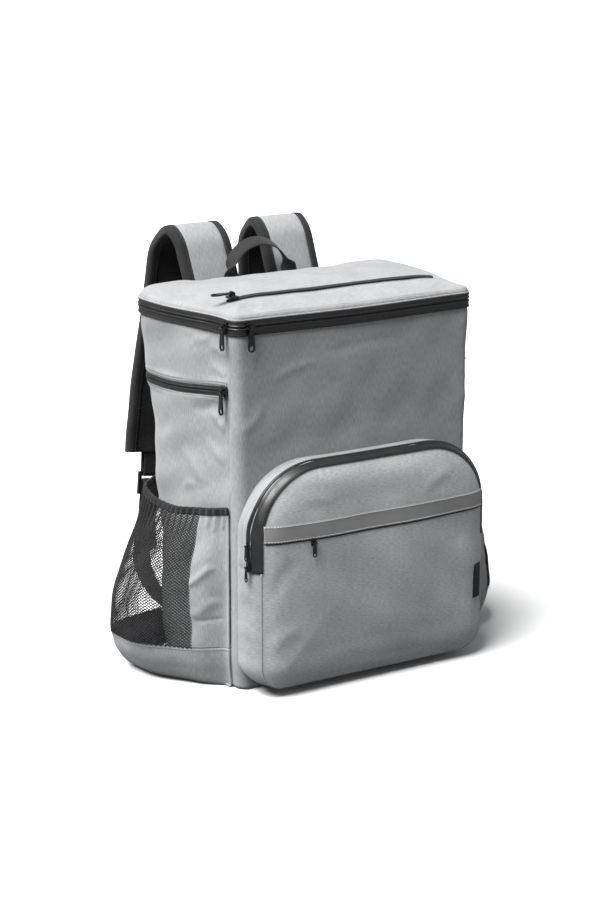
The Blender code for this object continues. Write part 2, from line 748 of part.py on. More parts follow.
def build_strap(name, side):
    route = smooth_route(strap_route(side), STRAP_STATIONS)
    frames = level_frames(route)
    half = STRAP_WIDTH / 2
    top = PAD_THICKNESS / 2
    pad_half = half - EDGE_TAPE - SEAM_GAP
    pad = rectangle(-pad_half, pad_half, -top, top)
    sweep("strap_pad_" + name, frames, pad, "black_net")
    cover = half - EDGE_COVER
    low = top + SEAM_GAP
    face = rectangle(-cover + SEAM_GAP, cover - SEAM_GAP, low, low + FACE_CLOTH)
    sweep("strap_face_" + name, frames, face, "grey_cloth")
    inner = half - EDGE_TAPE
    high = low + EDGE_TAPE
    tape = [
        (cover, low), (inner, low), (inner, -low), (cover, -low),
        (cover, -high), (half, -high), (half, high), (cover, high),
    ]
    sweep("strap_edge_outer_" + name, frames, [(side * a, n) for a, n in tape], "black_webbing")
    sweep("strap_edge_inner_" + name, frames, [(-side * a, n) for a, n in tape], "black_webbing")
    end = frames_along(route, Vector((1, 0, 0)))[-1]
    build_buckle(name, side, end, route[-1] - route[-2])


def build_buckle(name, side, end, ahead):
    """The buckle below a strap's end, its tab from the strap and the slack webbing to the foot."""
    place, across, normal = end
    down = ahead.normalized()
    centre = place + down * (BUCKLE_DISTANCE + BUCKLE_LENGTH / 2)
    turn = Matrix((across, -down, normal)).transposed().to_4x4()
    turn.translation = centre

    def at(v, n):
        return centre - down * v + normal * n

    bar = BUCKLE_BAR / 2
    top_bar = BUCKLE_LENGTH / 2 - bar
    middle_bar = BUCKLE_LENGTH * MIDDLE_BAR_SHARE
    low_bar = -BUCKLE_LENGTH / 2 + bar
    rail = (BUCKLE_WIDTH - WEBBING_WIDTH) / 2 - SEAM_GAP
    pieces = [(0, v, BUCKLE_WIDTH, BUCKLE_BAR) for v in (top_bar, middle_bar, low_bar)]
    pieces += [(s * (BUCKLE_WIDTH - rail) / 2, 0, rail, BUCKLE_LENGTH) for s in (-1, 1)]
    solids = []
    for x, y, wide, long in pieces:
        block = bmesh.new()
        grown = 1.0 if wide > rail else RAIL_SHARE
        bmesh.ops.create_cube(block, size=1.0, matrix=Matrix.Diagonal((wide, long, BUCKLE_BAR * grown, 1)))
        bmesh.ops.translate(block, vec=(x, y, 0), verts=block.verts)
        solids.append(block)
    body = joined(solids)
    buckle = add_object("buckle_" + name, body, "black_plastic")
    buckle.matrix_world = turn

    clear = bar * math.sqrt(2) + WEBBING / 2 + SEAM_GAP
    far = BUCKLE_LENGTH / 2 + BUCKLE_DISTANCE - SEAM_GAP * 4
    tab = [
        at(far, clear), at(top_bar + clear, clear), at(top_bar, clear),
        at(top_bar - clear * WRAP_NEAR, clear * WRAP_SIDE), at(top_bar - clear * WRAP_FAR, 0),
        at(top_bar - clear * WRAP_NEAR, -clear * WRAP_SIDE), at(top_bar, -clear),
        at(top_bar + clear, -clear), at(far, -clear),
    ]
    half = WEBBING_WIDTH / 2 - SEAM_GAP
    band = rectangle(-half, half, -WEBBING / 2, WEBBING / 2)
    sweep("strap_tab_" + name, frames_along(tab, across), band, "black_webbing")

    wrap = [
        at(middle_bar, -clear), at(middle_bar + clear * WRAP_NEAR, -clear * WRAP_SIDE),
        at(middle_bar + clear * WRAP_FAR, 0), at(middle_bar + clear * WRAP_NEAR, clear * WRAP_SIDE),
        at(middle_bar, clear), at(low_bar, clear),
    ]
    start = at(low_bar, -clear)
    slack = [start]
    for row in WEBBING_ROUTE:
        x = row.side * BODY_WIDTH / 2
        z = row.height * WALL_HEIGHT
        y = back_surface(x - WEBBING_WIDTH / 2, z) + WEBBING / 2 + SEAM_GAP + row.back * STRAP_REACH_DEPTH
        slack.append(Vector((side * x, y, z)))
    slack = list(reversed(smooth_route(slack, 16)))
    tail_end = at(low_bar, clear) + normal * TAIL_LIFT + Vector((0, 0, -TAIL_LENGTH))
    bend = wrap[-1].lerp(tail_end, TAIL_BEND) + normal * TAIL_LIFT
    tail = smooth_route([wrap[-2], wrap[-1], bend, tail_end], 7)
    route = slack + wrap[:-1] + tail[1:]
    sweep("lower_webbing_" + name, frames_along(route, across), band, "black_webbing")


def joined(solids):
    """One mesh from overlapping blocks, by Boolean union."""
    made = []
    for block in solids:
        mesh = bpy.data.meshes.new("block")
        block.to_mesh(mesh)
        block.free()
        obj = bpy.data.objects.new("block", mesh)
        CUTTERS.objects.link(obj)
        obj.hide_render = True
        obj.display_type = "WIRE"
        made.append(obj)
    first = made[0]
    for other in made[1:]:
        union = first.modifiers.new("union", "BOOLEAN")
        union.operation = "UNION"
        union.object = other
    return settled(first, made)


def settled(first, helpers):
    """The evaluated mesh of an object, whose helpers are then removed."""
    bpy.context.view_layer.update()
    graph = bpy.context.evaluated_depsgraph_get()
    mesh = bpy.data.meshes.new_from_object(first.evaluated_get(graph))
    for old in helpers:
        bpy.data.objects.remove(old)
    return mesh


def build_carry_loop():
    """A webbing loop between the shoulder straps, whose feet lie flat under them on the back."""
    half = LOOP_SPAN / 2
    flat = BACK_Y + WEBBING / 2 + SEAM_GAP * 2
    turned = flat + LOOP_WIDTH * LOOP_BACK
    points = [Vector((-half, flat, RIM_HEIGHT - LOOP_FOOT)), Vector((-half, flat, RIM_HEIGHT))]
    for angle in (150, 120, 90, 60, 30):
        a = math.radians(angle)
        points.append(Vector((half * math.cos(a), turned, RIM_HEIGHT + LOOP_RISE * math.sin(a))))
    points += [Vector((-p.x, p.y, p.z)) for p in reversed(points[:2])]
    route = smooth_route(points, 17)
    tilted = Vector((0, math.cos(LOOP_TILT), math.sin(LOOP_TILT)))
    band = rectangle(-LOOP_WIDTH / 2, LOOP_WIDTH / 2, -WEBBING / 2, WEBBING / 2)
    frames = []
    for i, (place, _, _) in enumerate(frames_along(route, tilted)):
        t = eased(max(0.0, min(1.0, (place.z - RIM_HEIGHT) / (LOOP_RISE / 2))))
        level = Vector((1 if place.x < 0 else -1, 0, 0))
        across = level * (1 - t) + tilted * t
        near = route[max(i - 1, 0):i + 2]
        frames.append(frames_along(near, across)[0 if i == 0 else 1])
    sweep("carry_loop", frames, band, "black_webbing")


def cylinder(radius, length, segments, axis, place):
    """A closed cylinder along X or Z, as a bmesh."""
    made = bmesh.new()
    turn = Matrix.Rotation(math.radians(90), 4, "Y") if axis == "X" else Matrix.Identity(4)
    bmesh.ops.create_cone(
        made, cap_ends=True, segments=segments, radius1=radius, radius2=radius, depth=length,
        matrix=Matrix.Translation(place) @ turn,
    )
    return made


def block(size, place):
    made = bmesh.new()
    shape = Matrix.Translation(place) @ Matrix.Diagonal((*size, 1))
    bmesh.ops.create_cube(made, size=1.0, matrix=shape)
    return made


BAR_HEIGHT = SLIDER_HEIGHT + EYE_WALL + EYE_CLEARANCE * 2 + BAR_RADIUS + TOUCH_GAP


def slider_mesh(scale):
    """A zip slider: a plate with a bar held over it. +X runs along the bar, +Z away from the cloth."""
    plate = block((SLIDER_LENGTH, SLIDER_WIDTH, SLIDER_HEIGHT), (0, 0, SLIDER_HEIGHT / 2))
    reach = SLIDER_LENGTH / 2 - BAR_RADIUS
    bar = cylinder(BAR_RADIUS, reach * 2, 8, "X", (0, 0, BAR_HEIGHT))
    posts = []
    for s in (-1, 1):
        low = SLIDER_HEIGHT / 2
        tall = BAR_HEIGHT + BAR_RADIUS - low
        posts.append(block((BAR_RADIUS * 2, BAR_RADIUS * 3, tall), (s * reach, 0, low + tall / 2)))
    mesh = joined([plate, *posts, bar])
    mesh.transform(Matrix.Scale(scale, 4))
    return mesh


def pull_mesh(scale):
    """A zip pull that hangs along -Y from an eye round the bar, which is at its origin."""
    inner = BAR_RADIUS + EYE_CLEARANCE
    outer = inner + EYE_WALL
    wide = PULL_NECK
    eye = cylinder(outer, wide, 10, "X", (0, 0, 0))
    end = PULL_WIDTH / 2
    tip = -PULL_LENGTH + end
    turn = [(tip_x, tip_y + tip) for tip_x, tip_y in arc(0, 0, end, 0, -180, 7)]
    outline = [(PULL_NECK / 2, -inner), (end, tip), *turn, (-end, tip), (-PULL_NECK / 2, -inner)]
    tab = bmesh.new()
    corners = [tab.verts.new((x, y, -PULL_THICKNESS / 2)) for x, y in reversed(outline)]
    face = tab.faces.new(corners)
    raised = bmesh.ops.extrude_face_region(tab, geom=[face])
    lifted = [g for g in raised["geom"] if isinstance(g, bmesh.types.BMVert)]
    bmesh.ops.translate(tab, vec=(0, 0, PULL_THICKNESS), verts=lifted)
    bmesh.ops.recalc_face_normals(tab, faces=tab.faces)
    mesh = joined([eye, tab])
    cut = [
        cylinder(inner, wide * 2, 10, "X", (0, 0, 0)),
        cylinder(PULL_HOLE, PULL_THICKNESS * 3, 10, "Z", (0, tip, 0)),
    ]
    mesh = drilled(mesh, cut)
    mesh.transform(Matrix.Scale(scale, 4))
    return mesh


def drilled(mesh, tools):
    """The mesh with each tool cut out of it."""
    body = bpy.data.objects.new("drilled", mesh)
    CUTTERS.objects.link(body)
    helpers = [body]
    for tool in tools:
        shape = bpy.data.meshes.new("tool")
        tool.to_mesh(shape)
        tool.free()
        cutter = bpy.data.objects.new("tool", shape)
        CUTTERS.objects.link(cutter)
        cutter.hide_render = True
        cutter.display_type = "WIRE"
        helpers.append(cutter)
        cut = body.modifiers.new("cut", "BOOLEAN")
        cut.operation = "DIFFERENCE"
        cut.object = cutter
    return settled(body, helpers)


def zip_pull(name, place, along, outward, shapes, scale=1.0):
    """A slider on a tape and the pull on its bar. along is the bar's direction."""
    along = along.normalized()
    outward = (outward - along * outward.dot(along)).normalized()
    turn = Matrix((along, outward.cross(along), outward)).transposed().to_4x4()
    lifted = place + outward * SEAM_GAP
    slider = add_object(name + "_slider", shapes[0].copy(), "black_metal")
    slider.matrix_world = Matrix.Translation(lifted) @ turn
    pull = add_object(name + "_pull", shapes[1].copy(), "black_metal")
    pull.matrix_world = Matrix.Translation(lifted + outward * BAR_HEIGHT * scale) @ turn


def build_zip_pulls():
    full = (slider_mesh(1.0), pull_mesh(1.0))
    small = (slider_mesh(SMALL_PULL_SHARE), pull_mesh(SMALL_PULL_SHARE))
    x_axis, y_axis, z_axis = Vector((1, 0, 0)), Vector((0, 1, 0)), Vector((0, 0, 1))
    grow = TOUCH_GAP
    rim = BodySection(WALL_HEIGHT, grow)
    zip_middle = WALL_HEIGHT + SEAM_GAP * 1.5 + TAPE_WIDTH
    corner_space = SLIDER_LENGTH / 2 + SEAM_GAP
    slider_space = SLIDER_WIDTH / 2 + SEAM_GAP
    front_x = -(rim.half - rim.nose - corner_space)
    place = Vector((front_x, rim.front_y(front_x + corner_space), zip_middle))
    zip_pull("main_zip_front", place, x_axis, -y_axis, full)
    place = Vector((-rim.half, rim.seam + FRONT_LAP - corner_space, zip_middle))
    zip_pull("main_zip_side", place, -y_axis, -x_axis, full)

    z = SIDE_ZIP_HEIGHT + SIDE_ZIP_WIDTH / 2
    section = BodySection(z, grow)
    y = section.seam + corner_space
    for name, side in (("left", -1), ("right", 1)):
        x = max(abs(BodySection(h, grow).side_x(q)) for h in (z - slider_space, z + slider_space)
                for q in (y - corner_space, y + corner_space))
        zip_pull("side_zip_" + name, Vector((side * x, y, z)), y_axis * side, x_axis * side, full)

    lid_y = FRONT_Y + LID_ZIP_SETBACK
    lid_x = -LID_ZIP_LENGTH / 2 + SLIDER_WIDTH / 2
    lift = FABRIC / 2 + SEAM_GAP
    reach = (-slider_space, slider_space)
    height = max(lid_height(lid_x + dx, lid_y + dy) for dx in reach for dy in reach)
    zip_pull("lid_zip", Vector((lid_x, lid_y, height + lift)), -y_axis, z_axis, full)

    zip_z = POCKET_SPLIT + SLIDER_WIDTH / 2 + SEAM_GAP
    for name, step in (("low", 0), ("high", 1)):
        ring = ZIP_RINGS[1]
        x = -(POCKET_WIDTH / 2 + ring.flare * POCKET_FLARE)
        z = zip_z + PULL_LENGTH * 0.5 * step + SLIDER_WIDTH * step
        y = pocket_point(x, z, (ZIP_RINGS[1].depth + ZIP_RINGS[2].depth) / 2).y
        zip_pull("pocket_zip_" + name, Vector((x, y, z)), Vector((0, -1, 0)), -x_axis, small,
                 SMALL_PULL_SHARE)

    z = STRIP_HEIGHT - SEAM_GAP - SLIDER_WIDTH * SMALL_PULL_SHARE / 2
    x = -POCKET_WIDTH / 2 + FACE_ZIP_INSET
    reach = (-slider_space * SMALL_PULL_SHARE, slider_space * SMALL_PULL_SHARE)
    y = POCKET_FACE_Y - max(face_height(x + dx, z + dz) for dx in reach for dz in reach)
    zip_pull("face_zip", Vector((x, y, z)), x_axis, -y_axis, small, SMALL_PULL_SHARE)


STRAP_FOOT = RIM_HEIGHT - STRAP_ROUTE[0].drop * STRAP_DROP_HEIGHT
LID_BASE = RIM_HEIGHT + SEAM_GAP

clear_scene()
PARTS = new_collection("cooler_backpack")
CUTTERS = new_collection("cutters")
build_body()
build_main_zip()
build_lid()
build_front_pocket()
build_side_pockets()
for strap_name, strap_side in (("left", -1), ("right", 1)):
    build_strap(strap_name, strap_side)
build_carry_loop()
build_zip_pulls()
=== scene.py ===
"""Looks of a cooler backpack: heather cloth shell, zipped lid, domed pocket, net side pockets and straps."""

from types import SimpleNamespace

import bmesh
import bpy
import numpy as np
from mathutils import Matrix, Vector


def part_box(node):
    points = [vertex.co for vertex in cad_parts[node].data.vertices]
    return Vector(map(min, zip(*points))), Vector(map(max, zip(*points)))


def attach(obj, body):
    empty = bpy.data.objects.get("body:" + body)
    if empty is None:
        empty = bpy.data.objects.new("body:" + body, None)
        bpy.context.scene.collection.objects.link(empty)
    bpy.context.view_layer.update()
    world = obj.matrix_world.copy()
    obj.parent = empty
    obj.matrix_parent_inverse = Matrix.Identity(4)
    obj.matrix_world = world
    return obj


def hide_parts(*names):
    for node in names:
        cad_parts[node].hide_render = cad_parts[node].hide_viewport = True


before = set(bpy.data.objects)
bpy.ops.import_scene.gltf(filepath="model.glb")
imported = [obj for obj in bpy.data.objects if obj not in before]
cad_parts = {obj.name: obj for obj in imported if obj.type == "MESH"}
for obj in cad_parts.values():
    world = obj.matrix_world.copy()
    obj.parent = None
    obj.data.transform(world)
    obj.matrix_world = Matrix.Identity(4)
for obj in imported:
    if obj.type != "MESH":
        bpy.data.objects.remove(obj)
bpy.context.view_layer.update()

# Sizes in metres, as in the solids
BODY_WIDTH = 0.320
BODY_DEPTH = 0.205
WALL_HEIGHT = 0.413
RIM_HEIGHT = 0.4292
FRONT_CORNER = 0.012
BACK_CORNER = 0.040
SIDE_BELLY = 0.006
BACK_SPLAY = 0.022
FRONT_BELLY = 0.006
LAP = 0.005
BACK_HALF = 0.1008
BACK_PAD_RISE = 0.009
STRAP_FOOT = 0.3662
LID_BASE = 0.4298
LID_RISE = 0.019
LID_ZIP_Y = -0.0515
LID_ZIP_LENGTH = 0.276
SIDE_ZIP_MIDDLE = 0.347
SIDE_ZIP_SAG = 0.010
MAIN_ZIP_MIDDLE = 0.4211
MAIN_ZIP_HALF = 0.0076
SIDE_ZIP_HALF = 0.0052
LID_ZIP_HALF = 0.0036
POCKET_HALF = 0.150
POCKET_LOW = 0.012
POCKET_HIGH = 0.263
POCKET_TOP_CORNER = 0.076
POCKET_FOOT_CORNER = 0.028
POCKET_FLARE = 0.009
POCKET_BELLY = 0.014
POCKET_SPLIT = 0.150
POCKET_FACE_Y = -0.1415
STRIP_LOW = 0.185
STRIP_HIGH = 0.205
LABEL_LOW = 0.0745
LABEL_HIGH = 0.1155
SIDE_POCKET_TOP = 0.214
SIDE_POCKET_BULGE = 0.078
SIDE_POCKET_DIP = 0.011
STRAP_WIDTH = 0.072
WEBBING_WIDTH = 0.025
WEBBING = 0.0016
LOOP_HALF = 0.042
LOOP_RISE = 0.044
BACK_Y = BODY_DEPTH / 2

# How thick the shown cloths are, and how far a piece stands off what it lies on
WALL_FOOT = 0.0016
WALL_THICK = 0.0054
POCKET_THICK = 0.002
TRIM_THICK = 0.0011
TRIM_LIFT = 0.0012
SKIN = 0.0003

# Points that lie inside a shape, from which its surface faces away
BODY_INSIDE = (0, 0, 0.2)
LID_INSIDE = (0, 0, 0.40)
POCKET_INSIDE = (0, -0.1, 0.13)
FACE_INSIDE = (0, -0.08, 0.13)
SIDE_POCKET_INSIDE = np.array((-0.12, 0, 0.10))

# The left side's points, times these factors, are either side's
MIRROR = {"left": (1, 1, 1), "right": (-1, 1, 1)}

# Shares of the way round at which a wall's line and its corner end
SIDE_END, TURN_END = 0.72, 0.95
FRONT_END, NOSE_END = 0.84, 0.94

# Height share, width, front, back, corner, side belly, front belly and splay of the body
SECTIONS = np.array([
    [0.000, 0.955, 0.016, 0.016, 1.05, 0.0, 0.0, 0.10],
    [0.018, 0.955, 0.016, 0.016, 1.05, 0.0, 0.0, 0.10],
    [0.070, 0.982, 0.000, 0.008, 1.10, 0.4, 0.3, 0.20],
    [0.330, 0.980, 0.000, 0.020, 1.25, 0.9, 0.6, 0.30],
    [0.600, 0.980, 0.000, 0.025, 1.20, 1.0, 0.9, 0.55],
    [0.900, 0.990, 0.000, 0.008, 1.05, 0.8, 1.0, 0.90],
    [0.982, 1.000, 0.000, 0.000, 1.00, 0.5, 1.0, 1.00],
    [1.000, 1.000, 0.000, 0.000, 1.00, 0.5, 1.0, 1.00],
])


def through(xs, ys, at):
    """A smooth curve through a table: a cubic between each pair of points, with the mean slope at each."""
    x, y = np.asarray(xs, float), np.asarray(ys, float)
    slope = np.gradient(y, x)
    i = np.clip(np.searchsorted(x, at, side="right") - 1, 0, len(x) - 2)
    h = x[i + 1] - x[i]
    t = np.clip((at - x[i]) / h, 0, 1)
    start = (2 * t**3 - 3 * t**2 + 1) * y[i] + (t**3 - 2 * t**2 + t) * h * slope[i]
    return start + (3 * t**2 - 2 * t**3) * y[i + 1] + (t**3 - t**2) * h * slope[i + 1]


def joined(*parts):
    """Arrays brought to one shape and set side by side, as the coordinates of points."""
    return np.stack(np.broadcast_arrays(*parts), -1)


def bell(at, middle, width):
    """A bell curve: 1 at its middle, and less by the square of the distance in widths."""
    return np.exp(-((at - middle) / width) ** 2)


def section(z, grow=0.0):
    """The body's outline numbers at heights z: each column of the table, averaged over nearby heights."""
    share = np.asarray(z, float) / WALL_HEIGHT
    nearby = np.linspace(-0.03, 0.03, 5)
    columns = [
        np.mean([np.interp(share + d, SECTIONS[:, 0], SECTIONS[:, c]) for d in nearby], 0)
        for c in range(1, 8)
    ]
    s = SimpleNamespace(half=columns[0] * BODY_WIDTH / 2 + grow)
    s.front = -BODY_DEPTH / 2 + columns[1] * BODY_DEPTH - grow
    s.back = BODY_DEPTH / 2 - columns[2] * BODY_DEPTH + grow
    s.corner = columns[3] * BACK_CORNER + grow
    s.belly = columns[4] * SIDE_BELLY
    s.front_belly = columns[5] * FRONT_BELLY
    s.splay = columns[6] * BACK_SPLAY
    s.nose = FRONT_CORNER + grow
    s.seam = s.front + s.nose + LAP
    return s


def side_x(y, s):
    """X of the left side: flat at the front, swelling by a squared sine, then the back corner's circle."""
    turn = s.back - s.corner
    flat = s.seam + LAP
    t = np.clip((y - flat) / (turn - flat), 0, 1)
    swell = s.splay * np.sin(np.pi * t / 2) ** 2 + s.belly * np.sin(np.pi * t) ** 2
    inside = np.sqrt(np.maximum(0, s.corner**2 - np.maximum(0, y - turn) ** 2))
    return np.where(y > turn, -(s.half + s.splay - s.corner) - inside, -s.half - swell)


def front_y(x, s):
    """Y of the front wall: its line less a squared cosine across the width."""
    t = np.clip(x / (s.half - s.nose), -1, 1)
    return s.front - s.front_belly * np.cos(np.pi * t / 2) ** 2


def side_point(p, z, grow=0.0):
    """Left wall at share p of its way round: along the side, then round the corner, then along the back."""
    s = section(z, grow)
    turn = s.back - s.corner
    start_x = s.corner - s.half - s.splay
    y = s.seam + (turn - s.seam) * np.clip(p / SIDE_END, 0, 1)
    angle = np.pi - np.pi / 2 * np.clip((p - SIDE_END) / (TURN_END - SIDE_END), 0, 1)
    end = np.clip((p - TURN_END) / (1 - TURN_END), 0, 1)
    x = np.where(p < SIDE_END, side_x(y, s), start_x + s.corner * np.cos(angle))
    y = np.where(p < SIDE_END, y, turn + s.corner * np.sin(angle))
    return joined(x - (BACK_HALF + start_x) * end, y, z)


def front_point(q, z, grow=0.0):
    """Front wall at share q from the left seam (-1) to the right one (1), a small circle at each corner."""
    s = section(z, grow)
    a = np.abs(q)
    flat = s.half - s.nose
    angle = np.pi / 2 * np.clip((a - FRONT_END) / (NOSE_END - FRONT_END), 0, 1)
    x = np.where(a < FRONT_END, a / FRONT_END * flat, flat + s.nose * np.sin(angle))
    y = front_y(a / FRONT_END * flat, s) + s.nose * (1 - np.cos(angle))
    return joined(np.sign(q) * x, y + LAP * np.clip((a - NOSE_END) / (1 - NOSE_END), 0, 1), z)


def lengths(path):
    """Running length along a path of points, or along each of many paths."""
    steps = np.linalg.norm(np.diff(path, axis=-2), axis=-1)
    return np.concatenate([np.zeros_like(steps[..., :1]), np.cumsum(steps, -1)], -1)


def at_lengths(path, run, at):
    """A path's points, or the directions that go with them, read at given lengths along it."""
    return np.stack([np.interp(at, run, column) for column in path.T], -1)


def spaced(path, count):
    """The same path with its points evenly spaced along its length."""
    run = lengths(path)
    return at_lengths(path, run, np.linspace(0, run[-1], count))


def smooth_path(points, count):
    """Evenly spaced points on the Catmull-Rom curve through the given ones."""
    p = np.asarray(points, float)
    p = np.vstack([2 * p[0] - p[1], p, 2 * p[-1] - p[-2]])
    t = np.linspace(0, 1, 24, endpoint=False)[:, None]
    a, b, c, d = (p[k:len(p) - 3 + k, None] for k in range(4))
    curve = 2 * b + (c - a) * t + (2 * a - 5 * b + 4 * c - d) * t**2 + (3 * b - a - 3 * c + d) * t**3
    return spaced(np.vstack([0.5 * curve.reshape(-1, 3), p[-2]]), count)


def unit(v):
    return v / np.maximum(np.linalg.norm(v, axis=-1, keepdims=True), 1e-12)


def square_to(tangent, v):
    """The part of a direction v that stands square to the tangent, at length 1."""
    return unit(v - tangent * np.sum(v * tangent, -1, keepdims=True))


def level_out(path):
    """Level directions square to a path on the body, away from the body's middle."""
    out = np.cross((0, 0, 1), unit(np.gradient(path, axis=0)))
    return out * np.sign(np.sum(out * path))


def rim_path(grow, z, count):
    """The left side, the front and the right side at one height, as one line."""
    left = side_point(np.linspace(1, 0, 90), z, grow)
    front = front_point(np.linspace(-1, 1, 120), z, grow)
    return spaced(np.vstack([left, front[1:-1], left[::-1] * MIRROR["right"]]), count)


# Cloth relief

def billow(u, v, seed, size, rise):
    """Soft unevenness of stretched cloth: a sum of sine waves in seeded directions, lengths and phases."""
    rng = np.random.default_rng(seed)
    total = np.zeros(np.broadcast(u, v).shape)
    for _ in range(12):
        angle, phase = rng.uniform(0, 2 * np.pi, 2)
        k = 2 * np.pi / (size * rng.uniform(0.6, 2.0))
        total = total + np.sin(k * (u * np.cos(angle) + v * np.sin(angle)) + phase)
    return rise * total / 3.5


def folds(u, v, rows):
    """Folds from rows of (u, v, end u, end v, width, rise): a bell across each line, fading at its ends."""
    total = np.zeros(np.broadcast(u, v).shape)
    for u0, v0, u1, v1, width, rise in rows:
        du, dv = u1 - u0, v1 - v0
        long = np.hypot(du, dv)
        t = ((u - u0) * du + (v - v0) * dv) / long**2
        away = ((u - u0) * dv - (v - v0) * du) / long
        away = away + 0.25 * width * np.sin(5 * t + u0 * 90)
        total = total + rise * bell(away, 0, width) * np.exp(-(np.abs(2 * t - 1) / 0.9) ** 6)
    return total


def normals_of(grid, inner):
    """Unit normals of a grid of points, turned away from an inner point."""
    n = unit(np.cross(np.gradient(grid, axis=1), np.gradient(grid, axis=0)))
    return n * np.sign(np.sum(n * (grid - inner)))


def raised(grid, inner, relief):
    """A grid of points moved along its normals, away from an inner point, by a relief."""
    return grid + normals_of(grid, inner) * np.broadcast_to(relief, grid.shape[:2])[..., None]


# Meshes from arrays

def quads_of(rows, columns, closed=False):
    """The four-sided faces of a grid of points; a closed one joins its last column to its first."""
    r = np.arange(rows - 1)[:, None] * columns
    c = np.arange(columns if closed else columns - 1)
    d = (c + 1) % columns
    return joined(r + c, r + d, r + columns + d, r + columns + c).reshape(-1, 4)


def ring_faces(rows, columns):
    """The faces of a closed band or cord: its rings, and a cap at each end that pairs a ring's two halves."""
    i = np.arange(columns // 2 - 1)
    cap = np.stack([i, i + 1, columns - 2 - i, columns - 1 - i], -1)
    return np.vstack([quads_of(rows, columns, True), cap[:, ::-1], cap + (rows - 1) * columns])


def make_mesh(name, points, faces, uv):
    """A mesh from whole arrays: points, four-sided faces and one uv pair, in metres, for each point."""
    points, uv = points.reshape(-1, 3), uv.reshape(-1, 2)
    mesh = bpy.data.meshes.new(name)
    mesh.vertices.add(len(points))
    mesh.vertices.foreach_set("co", points.astype(np.float32).ravel())
    mesh.loops.add(faces.size)
    mesh.loops.foreach_set("vertex_index", faces.astype(np.int32).ravel())
    mesh.polygons.add(len(faces))
    mesh.polygons.foreach_set("loop_start", np.arange(len(faces), dtype=np.int32) * 4)
    mesh.update(calc_edges=True)
    mesh.uv_layers.new(name="cut").data.foreach_set("uv", uv[faces.ravel()].astype(np.float32).ravel())
    mesh.shade_smooth()
    return mesh


def add_piece(name, mesh, finish, stands_for=()):
    """A shown piece of the backpack, with its material, riding on the bag."""
    slot, material = FINISHES[finish]
    obj = bpy.data.objects.new(name, mesh)
    bpy.context.scene.collection.objects.link(obj)
    mesh.materials.append(material)
    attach(obj, "bag")
    if stands_for:
        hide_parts(*stands_for)
    return obj


def merge(mesh, recalc):
    """Closes seams and poles, and turns a closed mesh's faces outwards."""
    shape = bmesh.new()
    shape.from_mesh(mesh)
    bmesh.ops.remove_doubles(shape, verts=shape.verts, dist=0.00002)
    if recalc:
        bmesh.ops.recalc_face_normals(shape, faces=shape.faces)
    shape.to_mesh(mesh)
    shape.free()
    mesh.shade_smooth()


def cloth(name, grid, finish, thick, inner=BODY_INSIDE, stands_for=(), uv=None, seam=False):
    """A cloth from a grid of points: uv is its running length each way, and its thickness lies inside.
    With a seam, the grid's ends that meet are merged."""
    rows, columns = grid.shape[:2]
    if uv is None:
        uv = joined(lengths(grid[rows // 2]), lengths(grid[:, columns // 2])[:, None])
    faces = quads_of(rows, columns)
    n = np.cross(np.gradient(grid, axis=1), np.gradient(grid, axis=0))
    if np.sum(n * (grid - inner)) < 0:
        faces = faces[:, ::-1]
    mesh = make_mesh(name, grid, faces, uv)
    if seam:
        merge(mesh, False)
    obj = add_piece(name, mesh, finish, stands_for)
    wall = obj.modifiers.new("wall", "SOLIDIFY")
    wall.thickness = thick
    wall.offset = -1
    return obj


def carried(name, path, across, profile, finish, stands_for=()):
    """A closed solid: a profile of (across, out) pairs carried along a path, its ends closed.
    The profile's first half runs one way and its second half back, so that its ends pair up."""
    tangent = unit(np.gradient(path, axis=0))
    side = square_to(tangent, across)
    out = np.cross(side, tangent)
    grid = path[:, None] + side[:, None] * profile[:, :1] + out[:, None] * profile[:, 1:]
    uv = joined(profile[:, 0], lengths(path)[:, None])
    mesh = make_mesh(name, grid, ring_faces(*grid.shape[:2]), uv)
    merge(mesh, True)
    return add_piece(name, mesh, finish, stands_for)


def profile_of(across, top, bottom):
    """A section for carried: its top line, then its bottom line back."""
    return np.vstack([joined(across, top), joined(across, bottom)[::-1]])


def flat_profile(half, bottom, top, count=9, crown=0.0):
    """A flat band's section, with an optional crown, and its edges drawn in by a high power."""
    t = np.linspace(-1, 1, count)
    edge = (top - bottom) * 0.35 * t**12
    return profile_of(half * t, top + crown * (1 - t**2) - edge, bottom + edge)


def tubes(name, paths, outs, radius, finish, sides=4, stands_for=()):
    """Many closed cords at once: a ring of points round each path of a (cords, points, 3) array."""
    tangent = unit(np.gradient(paths, axis=1))
    out = square_to(tangent, outs)
    side = np.cross(tangent, out)
    angle = 2 * np.pi * (np.arange(sides)[:, None] + 0.5) / sides
    ring = out[:, :, None] * np.cos(angle) + side[:, :, None] * np.sin(angle)
    count, points = paths.shape[:2]
    grid = paths[:, :, None] + ring * np.broadcast_to(radius, (count, points))[..., None, None]
    faces = ring_faces(points, sides) + np.arange(count)[:, None, None] * points * sides
    uv = joined(np.arange(sides) / sides * 0.002, lengths(paths)[..., None])
    mesh = make_mesh(name, grid, faces.reshape(-1, 4), uv)
    merge(mesh, True)
    return add_piece(name, mesh, finish, stands_for)


